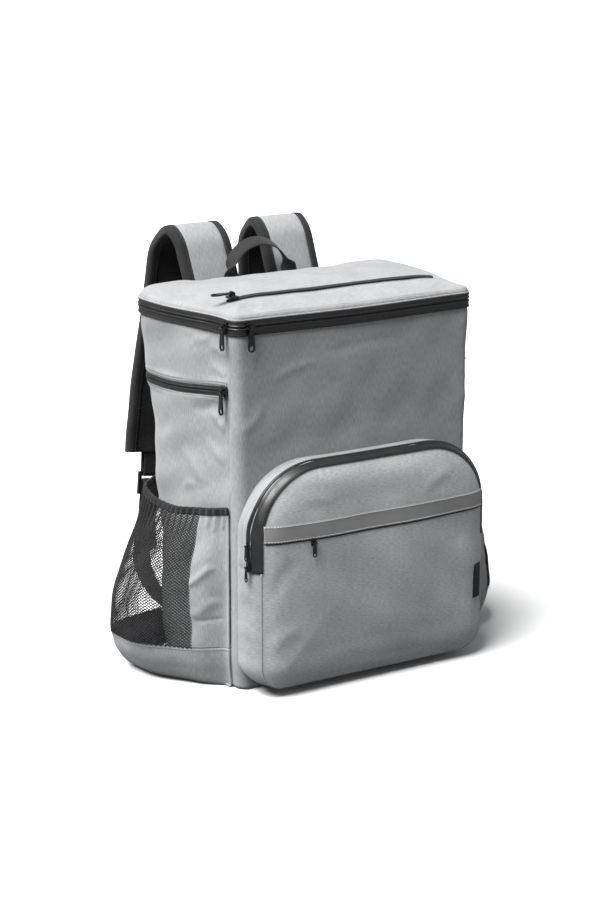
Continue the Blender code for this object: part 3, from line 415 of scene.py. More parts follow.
def stitches(name, rows, finish, pitch=0.0036, length=0.0026, radius=0.0004):
    """Sewn lines: short rounded cords laid end to end along each path, sunk to half their thickness."""
    t = np.linspace(-1, 1, 5)
    shape = np.sqrt(1 - t**4)
    paths, outs = [], []
    for path, out in rows:
        run = lengths(path)
        middles = (np.arange(int(run[-1] / pitch)) + 0.5) * pitch
        spots = middles[:, None] + t * length / 2
        n = unit(at_lengths(np.broadcast_to(out, path.shape), run, spots))
        paths.append(at_lengths(path, run, spots) + n * radius * (shape * 1.1 - 0.5)[:, None])
        outs.append(n)
    return tubes(name, np.vstack(paths), np.vstack(outs), radius * (0.15 + 0.85 * shape), finish)


# Materials

def feed(socket, value):
    """Links a value that changes over the surface to a socket, or sets a plain one on it."""
    if isinstance(value, bpy.types.NodeSocket):
        socket.id_data.links.new(value, socket)
    else:
        socket.default_value = value


def node(tree, kind, values=None, **settings):
    """A node with its settings made, and its named or numbered inputs fed."""
    made = tree.nodes.new("ShaderNode" + kind)
    for key, value in settings.items():
        setattr(made, key, value)
    for key, value in (values or {}).items():
        feed(made.inputs[key], value)
    return made.outputs


def tree_of(*values):
    """The node tree of the first socket among some values."""
    return next(value.id_data for value in values if isinstance(value, bpy.types.NodeSocket))


def maths(operation, a, b=0.0):
    return node(tree_of(a, b), "Math", {0: a, 1: b}, operation=operation)[0]


def add(a, b):
    return maths("ADD", a, b)


def less(a, b):
    return maths("SUBTRACT", a, b)


def times(a, b):
    return maths("MULTIPLY", a, b)


def over(a, b):
    return maths("DIVIDE", a, b)


def rib(turns):
    """Rounded ribs: the sine of half a turn for each 1, with its sign left off."""
    return maths("ABSOLUTE", maths("SINE", times(turns, 3.14159)))


def odd(count):
    """1 where a whole number is odd, 0 where it is even."""
    return maths("ABSOLUTE", maths("MODULO", count, 2.0))


def ramp(value, low, high, start=0.0, end=1.0):
    """A value's range from low to high read as start to end."""
    values = {0: value, 1: low, 2: high, 3: start, 4: end}
    return node(tree_of(value), "MapRange", values, interpolation_type="SMOOTHSTEP")[0]


def noise(spot, scale, detail=2.0, roughness=0.5):
    values = {"Vector": spot, "Scale": scale, "Detail": detail, "Roughness": roughness}
    return node(tree_of(spot), "TexNoise", values)[0]


def blend_colours(share, a, b, way="MIX"):
    return node(tree_of(share, a, b), "Mix", {0: share, 6: a, 7: b}, data_type="RGBA", blend_type=way)[2]


def new_group(name, inputs, outputs):
    """A node group that reads a Vector and more inputs by name and default, with outputs by name and kind."""
    tree = bpy.data.node_groups.new(name, "ShaderNodeTree")
    tree.interface.new_socket("Vector", in_out="INPUT", socket_type="NodeSocketVector")
    for label, default in inputs.items():
        kind = "NodeSocketFloat" if isinstance(default, float) else "NodeSocketColor"
        tree.interface.new_socket(label, in_out="INPUT", socket_type=kind).default_value = default
    for label, kind in outputs.items():
        tree.interface.new_socket(label, in_out="OUTPUT", socket_type="NodeSocket" + kind)
    return tree, tree.nodes.new("NodeGroupInput").outputs, tree.nodes.new("NodeGroupOutput").inputs


def heather_group():
    """Melange yarn: dark and light fibres, drawn out along the yarn, over a fine plain weave, with painted
    shade in the weave's gaps.
    """
    tree, i, o = new_group("heather", {
        "Dark": (0.1, 0.1, 0.1, 1), "Light": (0.5, 0.5, 0.5, 1), "Grain across": 900.0, "Grain along": 160.0,
        "Contrast": 0.16, "Thread pitch": 0.0009}, {"Color": "Color", "Height": "Float"})
    x, y = node(tree, "SeparateXYZ", {0: i["Vector"]})[:2]
    drawn = node(tree, "CombineXYZ", {0: times(x, i["Grain across"]), 1: times(y, i["Grain along"])})[0]
    grain = noise(drawn, 1.0, 4.0, 0.65)
    mixed = add(times(grain, 0.86), times(noise(i["Vector"], 38.0, 3.0), 0.14))
    share = ramp(mixed, less(0.5, i["Contrast"]), add(0.5, i["Contrast"]))
    weave = times(rib(over(x, i["Thread pitch"])), rib(over(y, i["Thread pitch"])))
    # Painted shade and highlight: the colour is 0.90 times in the weave's gaps and up to 1.02 times on the
    # threads' crowns
    deep = add(0.90, times(weave, 0.12))
    shade = node(tree, "CombineColor", {0: deep, 1: deep, 2: deep})[0]
    feed(o["Color"], blend_colours(1.0, blend_colours(share, i["Dark"], i["Light"]), shade, "MULTIPLY"))
    feed(o["Height"], add(weave, times(grain, 0.8)))
    return tree


def weave_group():
    """Woven threads: ribs one way and the other, one on top in each cell of a checker."""
    tree, i, o = new_group("weave", {"Pitch across": 0.002, "Pitch along": 0.001, "Slant": 0.0},
                           {"Height": "Float", "Gaps": "Float"})
    x, y = node(tree, "SeparateXYZ", {0: i["Vector"]})[:2]
    a = over(x, i["Pitch across"])
    b = add(over(y, i["Pitch along"]), times(a, i["Slant"]))
    one, two = rib(a), rib(b)
    cell = odd(add(maths("FLOOR", a), maths("FLOOR", b)))
    picked = node(tree, "Mix", {0: cell, 2: one, 3: two})[0]
    height = times(picked, maths("SQRT", times(one, two)))
    feed(o["Height"], height)
    feed(o["Gaps"], ramp(height, 0.05, 0.4))
    return tree


def knit_group():
    """Spacer mesh: rows of small round holes, offset row by row, in a soft knitted face."""
    tree, i, o = new_group("knit", {"Pitch": 0.0032}, {"Height": "Float", "Holes": "Float"})
    x, y = node(tree, "SeparateXYZ", {0: i["Vector"]})[:2]
    b = over(y, times(i["Pitch"], 0.866))
    a = add(over(x, i["Pitch"]), times(odd(maths("FLOOR", b)), 0.5))
    right, up = (less(maths("FRACT", v), 0.5) for v in (a, b))
    hole = ramp(maths("SQRT", add(times(right, right), times(up, up))), 0.18, 0.34)
    feed(o["Height"], hole)
    feed(o["Holes"], less(1.0, hole))
    return tree


def wear_group():
    """Dust and handling: broad soft patches with fine specks, as a mask."""
    tree, i, o = new_group("wear", {"Patch size": 0.05, "Amount": 0.5}, {"Mask": "Float"})
    broad = noise(i["Vector"], over(1.0, i["Patch size"]), 5.0, 0.6)
    fine = noise(i["Vector"], 900.0)
    mask = add(ramp(broad, 0.4, 0.7), times(ramp(fine, 0.55, 0.75), 0.3))
    feed(o["Mask"], times(mask, i["Amount"]))
    return tree


HEATHER, WEAVE, KNIT, WEAR = heather_group(), weave_group(), knit_group(), wear_group()


def use(group, values):
    """A node group placed with its own values."""
    made = tree_of(*values.values()).nodes.new("ShaderNodeGroup")
    made.node_tree = group
    for key, value in values.items():
        feed(made.inputs[key], value)
    return made.outputs


def new_material(name, roughness, sheen=0.0, specular=0.5, coat=0.0, metallic=0.0):
    """A material whose even numbers stand on the shader's own sockets. Gives it, the shader's inputs,
    and the UV and Object coordinates."""
    made = bpy.data.materials.new(name)
    made.use_nodes = True
    shader = made.node_tree.nodes["Principled BSDF"].inputs
    values = {
        "Roughness": roughness, "Sheen Weight": sheen, "Sheen Roughness": 0.45,
        "Specular IOR Level": specular,
        "Coat Weight": coat, "Coat Roughness": 0.15, "Metallic": metallic}
    for socket, value in values.items():
        shader[socket].default_value = value
    spots = node(made.node_tree, "TexCoord")
    return made, shader, spots["UV"], spots["Object"]


def grey(value, tint=0.0):
    return (value * (1 - tint), value, value * (1 + tint), 1)


def worn(shader, spot, tone, size, amount, dust):
    """Feeds the base colour: a tone, with patches of dust or rubbing over it. Gives the patches' mask."""
    mask = use(WEAR, {"Vector": spot, "Patch size": size, "Amount": amount})["Mask"]
    feed(shader["Base Color"], blend_colours(mask, tone, dust))
    return mask


def bump(shader, height, strength, distance):
    values = {"Height": height, "Strength": strength, "Distance": distance}
    feed(shader["Normal"], node(tree_of(height), "Bump", values)[0])


def heather_material(name, dark, light, across, along):
    """Grey melange cloth with faint dust and a soft sheen."""
    made, shader, uv, spot = new_material(name, 0.86, sheen=0.25, specular=0.25)
    yarn = use(HEATHER, {"Vector": uv, "Dark": grey(dark, 0.02), "Light": grey(light, 0.02),
                         "Grain across": across, "Grain along": along, "Contrast": 0.23})
    worn(shader, spot, yarn["Color"], 0.06, 0.10, grey(0.46))
    feed(shader["Roughness"], ramp(yarn["Height"], 0.0, 1.8, 0.95, 0.80))
    bump(shader, yarn["Height"], 0.35, 0.0004)
    return made


def woven_material(name, colour, across, along, roughness, sheen=0.1, slant=0.0, depth=0.0005, dusty=0.03):
    """Woven tape or webbing: ribbed threads, with painted shade in their gaps, and faint dust."""
    made, shader, uv, spot = new_material(name, roughness, sheen=sheen, specular=0.4)
    weave = use(WEAVE, {"Vector": uv, "Pitch across": across, "Pitch along": along, "Slant": slant})
    # Painted shade: the gaps between the threads are painted at 0.35 times the thread colour
    tone = blend_colours(weave["Gaps"], grey(colour * 0.35), grey(colour))
    dust = worn(shader, spot, tone, 0.03, dusty, grey(0.2))
    feed(shader["Roughness"], ramp(dust, 0.0, 0.1, roughness, min(1.0, roughness + 0.12)))
    bump(shader, weave["Height"], 0.6, depth)
    return made


def coated_material(name, colour, roughness):
    """Rubber-coated zip tape: satin and nearly smooth, with the tape's weave just showing."""
    made, shader, uv, spot = new_material(name, roughness, coat=0.15)
    weave = use(WEAVE, {"Vector": uv, "Pitch across": 0.0012, "Pitch along": 0.0007})
    dust = worn(shader, spot, grey(colour), 0.02, 0.12, grey(colour + 0.03))
    feed(shader["Roughness"], ramp(dust, 0.0, 0.16, roughness, roughness + 0.25))
    bump(shader, weave["Height"], 0.25, 0.0002)
    return made


def spacer_material(name, colour):
    """Spacer mesh with painted shade in its holes and faint dust."""
    made, shader, uv, spot = new_material(name, 0.9, sheen=0.15, specular=0.25)
    knit = use(KNIT, {"Vector": uv, "Pitch": 0.0034})
    # Painted shade: the holes are painted at a fifth of the mesh colour
    tone = blend_colours(knit["Holes"], grey(colour), grey(colour * 0.2))
    worn(shader, spot, tone, 0.04, 0.03, grey(0.25))
    bump(shader, knit["Height"], 0.8, 0.0008)
    return made


def lacquer_material(name, colour, roughness, metallic):
    """Moulded or lacquered black hardware: fine grain, and rubbed lighter patches."""
    made, shader, _, spot = new_material(name, roughness, coat=0.3, metallic=metallic)
    rub = worn(shader, spot, grey(colour), 0.006, 0.35, grey(colour * 2.2))
    feed(shader["Roughness"], ramp(rub, 0.0, 0.5, roughness, roughness + 0.2))
    bump(shader, noise(spot, 2500.0), 0.15, 0.0001)
    return made


def thread_material(name, colour):
    """Sewing thread: two plies twisted together, with painted shade between them."""
    made, shader, uv, _ = new_material(name, 0.7, sheen=0.1)
    twist = use(WEAVE, {"Vector": uv, "Pitch across": 0.0010, "Pitch along": 0.0007, "Slant": 1.0})
    # Painted shade: the gaps between the two plies are painted at 0.6 times the thread colour
    feed(shader["Base Color"], blend_colours(twist["Gaps"], grey(colour * 0.6), grey(colour)))
    bump(shader, twist["Height"], 0.5, 0.0002)
    return made


# Each finish: the record's slot, and the material
FINISHES = {
    "wall_cloth": ("heather_fabric", heather_material("wall_cloth", 0.240, 0.390, 1200.0, 130.0)),
    # Painted sheen: the pocket face's cloth is a lighter copy of the wall cloth with its grain turned across;
    # its extra lightness stands for the sheen of the turned weave
    "pocket_cloth_painted_sheen": ("heather_fabric", heather_material("pocket_cloth_painted_sheen", 0.30, 0.54, 190.0, 1000.0)),
    "zip_tape": ("zip_tape", coated_material("zip_tape", 0.013, 0.36)),
    "zip_edge": ("zip_tape", woven_material("zip_edge", 0.014, 0.0012, 0.0006, 0.65)),
    "spacer": ("spacer_mesh", spacer_material("spacer", 0.014)),
    "net_cord": ("net", woven_material("net_cord", 0.008, 0.0008, 0.0005, 0.75)),
    "binding": ("binding", woven_material("binding", 0.008, 0.0016, 0.0008, 0.78)),
    "webbing": ("webbing", woven_material("webbing", 0.011, 0.0021, 0.0012, 0.7, slant=0.5)),
    "reflector": ("reflective_tape", woven_material(
        "reflector", 0.30, 0.0005, 0.0005, 0.45, depth=0.0001, dusty=0.02)),
    "label": ("woven_label", woven_material(
        "label", 0.003, 0.0006, 0.0004, 0.6, sheen=0.0, depth=0.0002, dusty=0.003)),
    "light_thread": ("reflective_tape", thread_material("light_thread", 0.80)),
    "grey_thread": ("heather_fabric", thread_material("grey_thread", 0.30)),
    "dark_thread": ("binding", thread_material("dark_thread", 0.04)),
    "plastic": ("buckle_plastic", lacquer_material("plastic", 0.010, 0.38, 0.0)),
    "lacquer": ("zip_metal", lacquer_material("lacquer", 0.004, 0.22, 0.2)),
}


# Body

SIDE_FOLDS = [
    (0.010, 0.300, 0.034, 0.322, 0.0045, 0.0014),
    (0.012, 0.262, 0.040, 0.285, 0.0060, 0.0012),
    (0.020, 0.325, 0.060, 0.318, 0.0050, -0.0010),
    (0.008, 0.360, 0.030, 0.376, 0.0045, 0.0010),
    (0.040, 0.235, 0.085, 0.262, 0.0080, 0.0012),
    (0.100, 0.300, 0.135, 0.272, 0.0080, -0.0009),
    (0.006, 0.385, 0.028, 0.396, 0.0035, 0.0009),
    (0.006, 0.318, 0.022, 0.309, 0.0030, -0.0009),
    (0.030, 0.404, 0.052, 0.396, 0.0040, 0.0008),
    (0.060, 0.230, 0.090, 0.221, 0.0050, 0.0010),
]
FRONT_FOLDS = [
    (0.020, 0.300, 0.045, 0.330, 0.0060, 0.0010),
    (0.300, 0.330, 0.325, 0.300, 0.0060, 0.0010),
    (0.120, 0.385, 0.230, 0.388, 0.0060, -0.0008),
    (0.060, 0.360, 0.110, 0.375, 0.0050, 0.0008),
]
CHANNEL_X = 0.030
CHANNEL_HEIGHTS = (0.09, 0.18, 0.27)


def side_zip_height(y):
    """The side zip's line: level at the front seam, sagging by part of a sine towards the back."""
    seam = -BODY_DEPTH / 2 + FRONT_CORNER + LAP
    return SIDE_ZIP_MIDDLE - SIDE_ZIP_SAG * np.sin(0.65 * np.pi * (y - seam) / (BACK_Y - seam))


def build_walls():
    """Side and front walls: the body's surface, raised by billows and folds and drawn in at the seams, with
    a bell-shaped roll on either side of the side zip. The front's relief is left out behind the pocket."""
    p = np.linspace(0, 1, 80)
    z = np.linspace(WALL_FOOT, WALL_HEIGHT + 0.001, 130)[:, None]
    rim_dip = 0.0012 * bell(z, WALL_HEIGHT, 0.003)
    grid = side_point(p, z)
    u = lengths(grid[65])
    off_zip = z - side_zip_height(grid[..., 1])
    relief = billow(u, z, 3, 0.07, 0.0018) + 1.5 * folds(u, z, SIDE_FOLDS)
    relief = relief * (1 - np.exp(-(off_zip / 0.012) ** 4))
    relief = relief + 0.0014 * bell(np.abs(off_zip), 0.0090, 0.0026) * (u > 0.004)
    relief = relief - 0.0009 * bell(u, 0, 0.002) - rim_dip
    left = raised(grid, BODY_INSIDE, relief * np.clip((1 - p) / 0.05, 0, 1))
    for name, mirror in MIRROR.items():
        cloth("side_wall_" + name, left * mirror, "wall_cloth", WALL_THICK,
              stands_for=("side_panel_lower_" + name, "side_panel_upper_" + name))
    q = np.linspace(-1, 1, 120)
    grid = front_point(q, z)
    u = lengths(grid[65])
    relief = billow(u, z, 5, 0.08, 0.0006) + 1.2 * folds(u, z, FRONT_FOLDS) - rim_dip
    above_pocket = np.clip((z - POCKET_HIGH - 0.004) / 0.02, 0, 1)
    relief = relief * np.clip((1 - np.abs(q)) / 0.05, 0, 1) * above_pocket
    front = raised(grid, BODY_INSIDE, relief)
    cloth("front_wall", front, "wall_cloth", WALL_THICK, stands_for=("front_panel",))


def pad_rise(across, z):
    """The back pad's rise from 0 to 1: a sine up the back times a cosine across it."""
    up = np.sin(np.pi * np.minimum(1, z / (STRAP_FOOT - LAP)))
    return up * np.cos(np.pi * np.minimum(1, across / BACK_HALF) / 2)


def build_back():
    """Back panel: a spacer-mesh pad, with sewn channels down and across it, each a bell in section."""
    x = np.linspace(-BACK_HALF, BACK_HALF, 80)
    z = np.linspace(WALL_FOOT, RIM_HEIGHT, 150)[:, None]
    rise = pad_rise(np.abs(x), z)
    channels = bell(np.abs(x), CHANNEL_X, 0.0022) + sum(bell(z, height, 0.0022) for height in CHANNEL_HEIGHTS)
    y = section(z).back + BACK_PAD_RISE * rise - 0.0016 * channels * np.clip(rise * 3, 0, 1)
    pad = cloth("back_pad", joined(x, y, z), "spacer", WALL_THICK, stands_for=("back_panel",))


def build_base():
    """Base: the rim's outline, drawn in evenly to its middle."""
    rim = rim_path(-0.006, 0.0, 200)
    rim = np.vstack([rim, rim[:1]])
    share = np.linspace(1, 0, 24)[:, None]
    grid = joined(rim[:, 0] * share, rim[:, 1] * share, 0.0004)
    cloth("base", grid, "wall_cloth", 0.005, stands_for=("base_panel",), uv=grid[..., :2], seam=True)


# Zips

# The piping under the zip is black binding: its dark colour stands partly for the piping and partly for
# painted shadow in the gap under the zip band; the piping over the zip is the wall cloth
PIPINGS = (("piping_under_zip", 0.4128, 0.0013, "binding"), ("piping_over_zip", 0.4294, 0.0010, "wall_cloth"))
MAIN_STITCH_HEIGHTS = (0.4150, 0.4272)
SIDE_STITCH_OFFSETS = (0.0075, 0.0105, -0.0075)
LID_STITCH_OFFSETS = (-0.0055, 0.0055)
COIL_HALF = 0.0030


def zip_band(name, path, across, half, finish, stands_for, groove=0.0005):
    """A zip seen from its flat side: the tape, the hidden coil's two low ridges and the slit between them."""
    tape = np.linspace(COIL_HALF + 0.0004, half, 5)
    a = np.concatenate([-tape[::-1], np.linspace(-COIL_HALF, COIL_HALF, 15), tape])
    ridges = 0.0009 * bell(np.abs(a), 0.0016, 0.0011)
    top = 0.0011 + ridges - 0.0012 * bell(a, 0, groove) - 0.0004 * (np.abs(a) > half * 0.97)
    return carried(name, path, across, profile_of(a, top, -0.0008), finish, stands_for)


def build_zips():
    """The main zip round three sides, between its two pipings; the side zips; and the lid's zip."""
    rim = rim_path(SKIN, WALL_HEIGHT, 240) * (1, 1, 0)
    out = level_out(rim)
    zip_band("main_zip", rim + (0, 0, MAIN_ZIP_MIDDLE), (0, 0, -1), MAIN_ZIP_HALF, "zip_tape",
             ("main_zip_tape_lower", "main_zip_tape_upper"), 0.0009)
    for name, z, radius, finish in PIPINGS:
        tubes(name, (rim + (0, 0, z) + out * 0.0006)[None], out[None], radius, finish, 8)
    rows = [(rim + (0, 0, z) + out * 0.0010, out) for z in MAIN_STITCH_HEIGHTS]
    stitches("main_zip_stitches", rows, "dark_thread")
    p = np.linspace(0.01, 0.93, 120)
    line = side_point(p, SIDE_ZIP_MIDDLE, SKIN)
    for _ in range(3):
        line = side_point(p, side_zip_height(line[:, 1]), SKIN)
    out = level_out(line)
    rows = [side_point(p, line[:, 2] + rise, 0.0011) for rise in SIDE_STITCH_OFFSETS]
    for name, mirror in MIRROR.items():
        zip_band("side_zip_" + name, line * mirror, (0, 0, mirror[0]), SIDE_ZIP_HALF, "zip_tape",
                 ("side_zip_tape_" + name,))
        stitches("side_zip_stitches_" + name, [(row * mirror, out * mirror) for row in rows], "grey_thread")
    x = np.linspace(-LID_ZIP_LENGTH / 2, LID_ZIP_LENGTH / 2, 120)
    path = lid_point(x, LID_ZIP_Y) + (0, 0, 0.0007)
    zip_band("lid_zip", path, (0, -1, 0), LID_ZIP_HALF, "zip_edge", ("lid_zip_tape",), 0.0004)


# Lid

LID_INSET = [0.000, 0.006, 0.030, 0.120, 0.400, 0.780, 1.000]
LID_HEIGHT = [0.00, 0.14, 0.30, 0.44, 0.64, 0.97, 1.03]
LID_FOLDS = [
    (-0.152, -0.088, -0.118, -0.060, 0.0040, 0.0016),
    (-0.148, -0.070, -0.128, -0.058, 0.0030, -0.0010),
    (-0.120, -0.094, -0.104, -0.066, 0.0040, 0.0010),
    (0.150, -0.085, 0.128, -0.060, 0.0040, 0.0012),
    (0.060, -0.095, 0.072, -0.066, 0.0045, 0.0008),
    (-0.040, -0.096, -0.030, -0.066, 0.0045, 0.0008),
    (-0.150, 0.060, -0.105, 0.040, 0.0080, 0.0012),
    (0.150, 0.055, 0.100, 0.030, 0.0080, 0.0012),
    (-0.060, -0.030, 0.050, -0.022, 0.0120, -0.0010),
]


def by_lid_zip(x, y, width, past, fade):
    """How near the lid's zip a point is: a bell across the zip, fading out at a distance past its ends."""
    return bell(y, LID_ZIP_Y, width) * np.clip((LID_ZIP_LENGTH / 2 + past - np.abs(x)) / fade, 0, 1)


def lid_half(y, s):
    """Half the lid's width at depth y: the side's curve, and the front corner's circle before it."""
    before = np.clip(s.front + s.nose - y, 0, s.nose)
    return np.where(before > 0, s.half - s.nose + np.sqrt(s.nose**2 - before**2), -side_x(y, s))


def lid_point(x, y):
    """A point of the lid: its rise is read at the inset from the nearer edge, the two edges' insets blended
    by a power mean; its front edge is pushed out as the front wall is."""
    s = section(WALL_HEIGHT)
    from_side = (s.half + s.splay) * (1 - np.abs(x) / lid_half(y, s)) / BACK_Y
    from_front = 1 - np.abs(y) / BACK_Y
    near = np.clip(np.minimum(from_side, from_front), 0, 1)
    far = np.maximum(from_side, from_front)
    inset = near * (1 + (near / np.maximum(far, 1e-6)) ** 6) ** (-1 / 6)
    edge = np.clip(near / 0.12, 0, 1)
    taut = 1 - 0.85 * by_lid_zip(x, y, 0.011, 0.014, 0.014)
    relief = (billow(x, y, 11, 0.06, 0.0013) + folds(x, y, LID_FOLDS)) * edge * taut
    z = LID_BASE + LID_RISE * np.interp(inset, LID_INSET, LID_HEIGHT) + relief
    bend = s.front - front_y(x, s)
    return joined(x, y - bend * np.clip(-y / BACK_Y, 0, 1) ** 2, z)


def build_lid():
    """Lid: rows from front to back, closer at the edges, each as wide as the rim is there."""
    s = section(WALL_HEIGHT)
    y = s.front + (s.back - s.front) * (1 - np.cos(np.linspace(0, np.pi, 90))[:, None]) / 2
    x = np.sin(np.linspace(-np.pi / 2, np.pi / 2, 130)) * lid_half(y, s)
    grid = lid_point(x, y) - 0.0008 * joined(0, 0, by_lid_zip(x, y, 0.005, 0.004, 0.012))
    lid = cloth("lid_cover", grid, "wall_cloth", WALL_THICK, LID_INSIDE, ("lid",), uv=grid[..., 1::-1])
    x = np.linspace(-LID_ZIP_LENGTH / 2, LID_ZIP_LENGTH / 2, 90)
    rows = [(lid_point(x, LID_ZIP_Y + off) + (0, 0, 0.0002), (0, 0, 1)) for off in LID_STITCH_OFFSETS]
    stitches("lid_zip_stitches", rows, "grey_thread")


# Front pocket

RING_DEPTH = [0.00, 0.28, 0.46, 0.56, 0.78, 0.965, 1.0]
RING_FLARE = [0.55, 0.90, 1.00, 1.00, 0.70, 0.16, 0.0]
ZIP_DEPTH = np.linspace(0.62, 0.99, 22)
SLIT_DEPTH = 0.73
FACE_INSET = [0.00, 0.10, 0.35, 0.72, 1.0]
FACE_RISE = [0.00, 0.42, 0.80, 1.00, 1.02]
FACE_FOLDS = [
    (-0.146, 0.060, -0.110, 0.085, 0.0090, 0.0014),
    (-0.140, 0.120, -0.115, 0.165, 0.0090, -0.0012),
    (0.140, 0.110, 0.110, 0.150, 0.0100, 0.0012),
    (-0.060, 0.030, 0.060, 0.026, 0.0100, -0.0012),
    (-0.100, 0.235, -0.060, 0.222, 0.0070, 0.0010),
    (0.100, 0.235, 0.060, 0.222, 0.0070, 0.0010),
]


def pocket_outline(count):
    """The pocket's outline from the front, anticlockwise from its right side, and its outward normals."""
    start = np.array([(POCKET_HALF, POCKET_SPLIT, 1.0, 0.0)])
    top, foot = POCKET_HIGH - POCKET_TOP_CORNER, POCKET_LOW + POCKET_FOOT_CORNER
    corners = (
        (1, top, POCKET_TOP_CORNER, 0), (-1, top, POCKET_TOP_CORNER, 90),
        (-1, foot, POCKET_FOOT_CORNER, 180), (1, foot, POCKET_FOOT_CORNER, 270))
    parts = [start]
    for side, z, radius, turn in corners:
        a = np.radians(turn + np.linspace(0, 90, 40))
        out = joined(np.cos(a), np.sin(a))
        parts.append(np.hstack([out * radius + (side * (POCKET_HALF - radius), z), out]))
    both = np.vstack([*parts, start])
    run = lengths(both[:, :2])
    both = at_lengths(both, run, np.linspace(0, run[-1], count))
    return both[:, :2], unit(both[:, 2:])


def flare_at(depth):
    """How far the pocket's side stands out of its outline, at a share of the way to the face."""
    return POCKET_FLARE * through(RING_DEPTH, RING_FLARE, depth)


def pocket_surface(points, outs, depth, grow):
    """The pocket's side: its outline grown by a flare, carried from the body towards the face's plane."""
    down = np.where(outs[:, 1] < 0, 0.3, 1.0 - 0.5 * np.abs(outs[:, 1]))
    x = points[:, 0] + outs[:, 0] * grow
    z = points[:, 1] + outs[:, 1] * grow * down
    s = section(z)
    round_corner = np.clip((np.abs(x) - s.half + s.nose) / s.nose, 0, 0.98)
    body = front_y(x, s) + s.nose * (1 - np.sqrt(1 - round_corner**2)) - SKIN
    return joined(x, body + (POCKET_FACE_Y - body) * depth, z)


def face_rise(x, z):
    """How far the face stands out: a smooth rise with the distance to its outline, and the cloth's folds."""
    middle = (POCKET_HIGH + POCKET_LOW) / 2
    reach = (POCKET_HIGH - POCKET_LOW) / 2
    r = np.where(z > middle, POCKET_TOP_CORNER, POCKET_FOOT_CORNER)
    qx = np.abs(x) - POCKET_HALF + r
    qz = np.abs(z - middle) - reach + r
    inside = r - np.hypot(np.maximum(qx, 0), np.maximum(qz, 0)) - np.minimum(np.maximum(qx, qz), 0)
    share = np.clip(inside / reach, 0, 1)
    soft = (billow(x, z, 21, 0.09, 0.0011) + folds(x, z, FACE_FOLDS)) * np.clip(share / 0.12, 0, 1)
    return POCKET_BELLY * through(FACE_INSET, FACE_RISE, share) + soft


def face_point(x, z, lift=0.0):
    return joined(x, POCKET_FACE_Y - face_rise(x, z) - lift, z)


def corner_cut(x, radius):
    """How much of the outline's height a corner's circle takes off, x away from the middle."""
    past = np.maximum(0, np.abs(x) - POCKET_HALF + radius)
    return radius - np.sqrt(np.maximum(0, radius**2 - past**2))


def build_pocket():
    """Front pocket: its side, drawn in behind the zip and at the split; its face, with columns closer at the
    edges and each as high as the outline is there; then its zip and trim."""
    points, outs = pocket_outline(320)
    depth = np.linspace(0, 1.0, 36)[:, None]
    grid = pocket_surface(points, outs, depth, flare_at(depth))
    relief = billow(lengths(points), depth * 0.04, 31, 0.03, 0.0006) * np.sin(np.pi * depth)
    relief = relief - 0.0010 * bell(depth, 0.44, 0.04) * (points[:, 1] > POCKET_SPLIT)
    relief = relief - 0.0010 * bell(points[:, 1], POCKET_SPLIT, 0.0016)
    cloth("pocket_side", raised(grid, POCKET_INSIDE, relief), "wall_cloth", POCKET_THICK, POCKET_INSIDE,
          ("pocket_gusset_upper", "pocket_gusset_lower"), seam=True)
    x = POCKET_HALF * np.sin(np.linspace(-np.pi / 2, np.pi / 2, 120))
    low = POCKET_LOW + corner_cut(x, POCKET_FOOT_CORNER)
    high = POCKET_HIGH - corner_cut(x, POCKET_TOP_CORNER)
    face = face_point(x, low + (high - low) * (1 - np.cos(np.linspace(0, np.pi, 96))[:, None]) / 2)
    # The face uses the lighter pocket cloth, whose extra lightness is painted sheen
    cloth("pocket_front", face, "pocket_cloth_painted_sheen", POCKET_THICK, FACE_INSIDE, ("pocket_face",),
          uv=face[..., ::2])
    build_pocket_zip(points, outs)
    build_pocket_trim()


def build_pocket_zip(points, outs):
    """The arch's zip: a band on the bevel and the face's rim, with two ridges, a slit and both sewn edges.
    Below the split a piping follows the face's edge."""
    arch = np.flatnonzero(points[:, 1] > POCKET_SPLIT - 0.001)
    arch = arch[np.argsort(np.arctan2(points[arch, 1] - POCKET_SPLIT, points[arch, 0]))]
    bevel = pocket_surface(points[arch], outs[arch], ZIP_DEPTH[:, None], flare_at(ZIP_DEPTH)[:, None])
    rim = points[arch] - outs[arch] * np.linspace(0.0003, 0.0012, 3)[:, None, None]
    grid = np.vstack([bevel, face_point(rim[..., 0], rim[..., 1])])
    run = lengths(grid[:, grid.shape[1] // 2])
    away = (run - np.interp(SLIT_DEPTH, ZIP_DEPTH, run[:22]))[:, None]
    relief = 0.0010 + 0.0008 * bell(np.abs(away), 0.0019, 0.0012) - 0.0014 * bell(away, 0, 0.0007)
    grid = raised(grid, POCKET_INSIDE, relief)
    cloth("pocket_zip", grid, "zip_tape", 0.0016, POCKET_INSIDE, ("pocket_zip_tape",))
    n = normals_of(grid, POCKET_INSIDE)
    stitches("pocket_zip_stitches", [(grid[r] + n[r] * 0.0001, n[r]) for r in (2, 20)], "dark_thread")
    foot = np.flatnonzero(points[:, 1] <= POCKET_SPLIT + 0.002)
    foot = foot[np.argsort(np.arctan2(points[foot, 0], POCKET_SPLIT - points[foot, 1]))]
    edge = pocket_surface(points[foot], outs[foot], 0.985, 0.0006)
    out = joined(outs[foot, 0], -0.8, outs[foot, 1])
    tubes("pocket_piping", edge[None], out[None], 0.0011, "wall_cloth", 8)


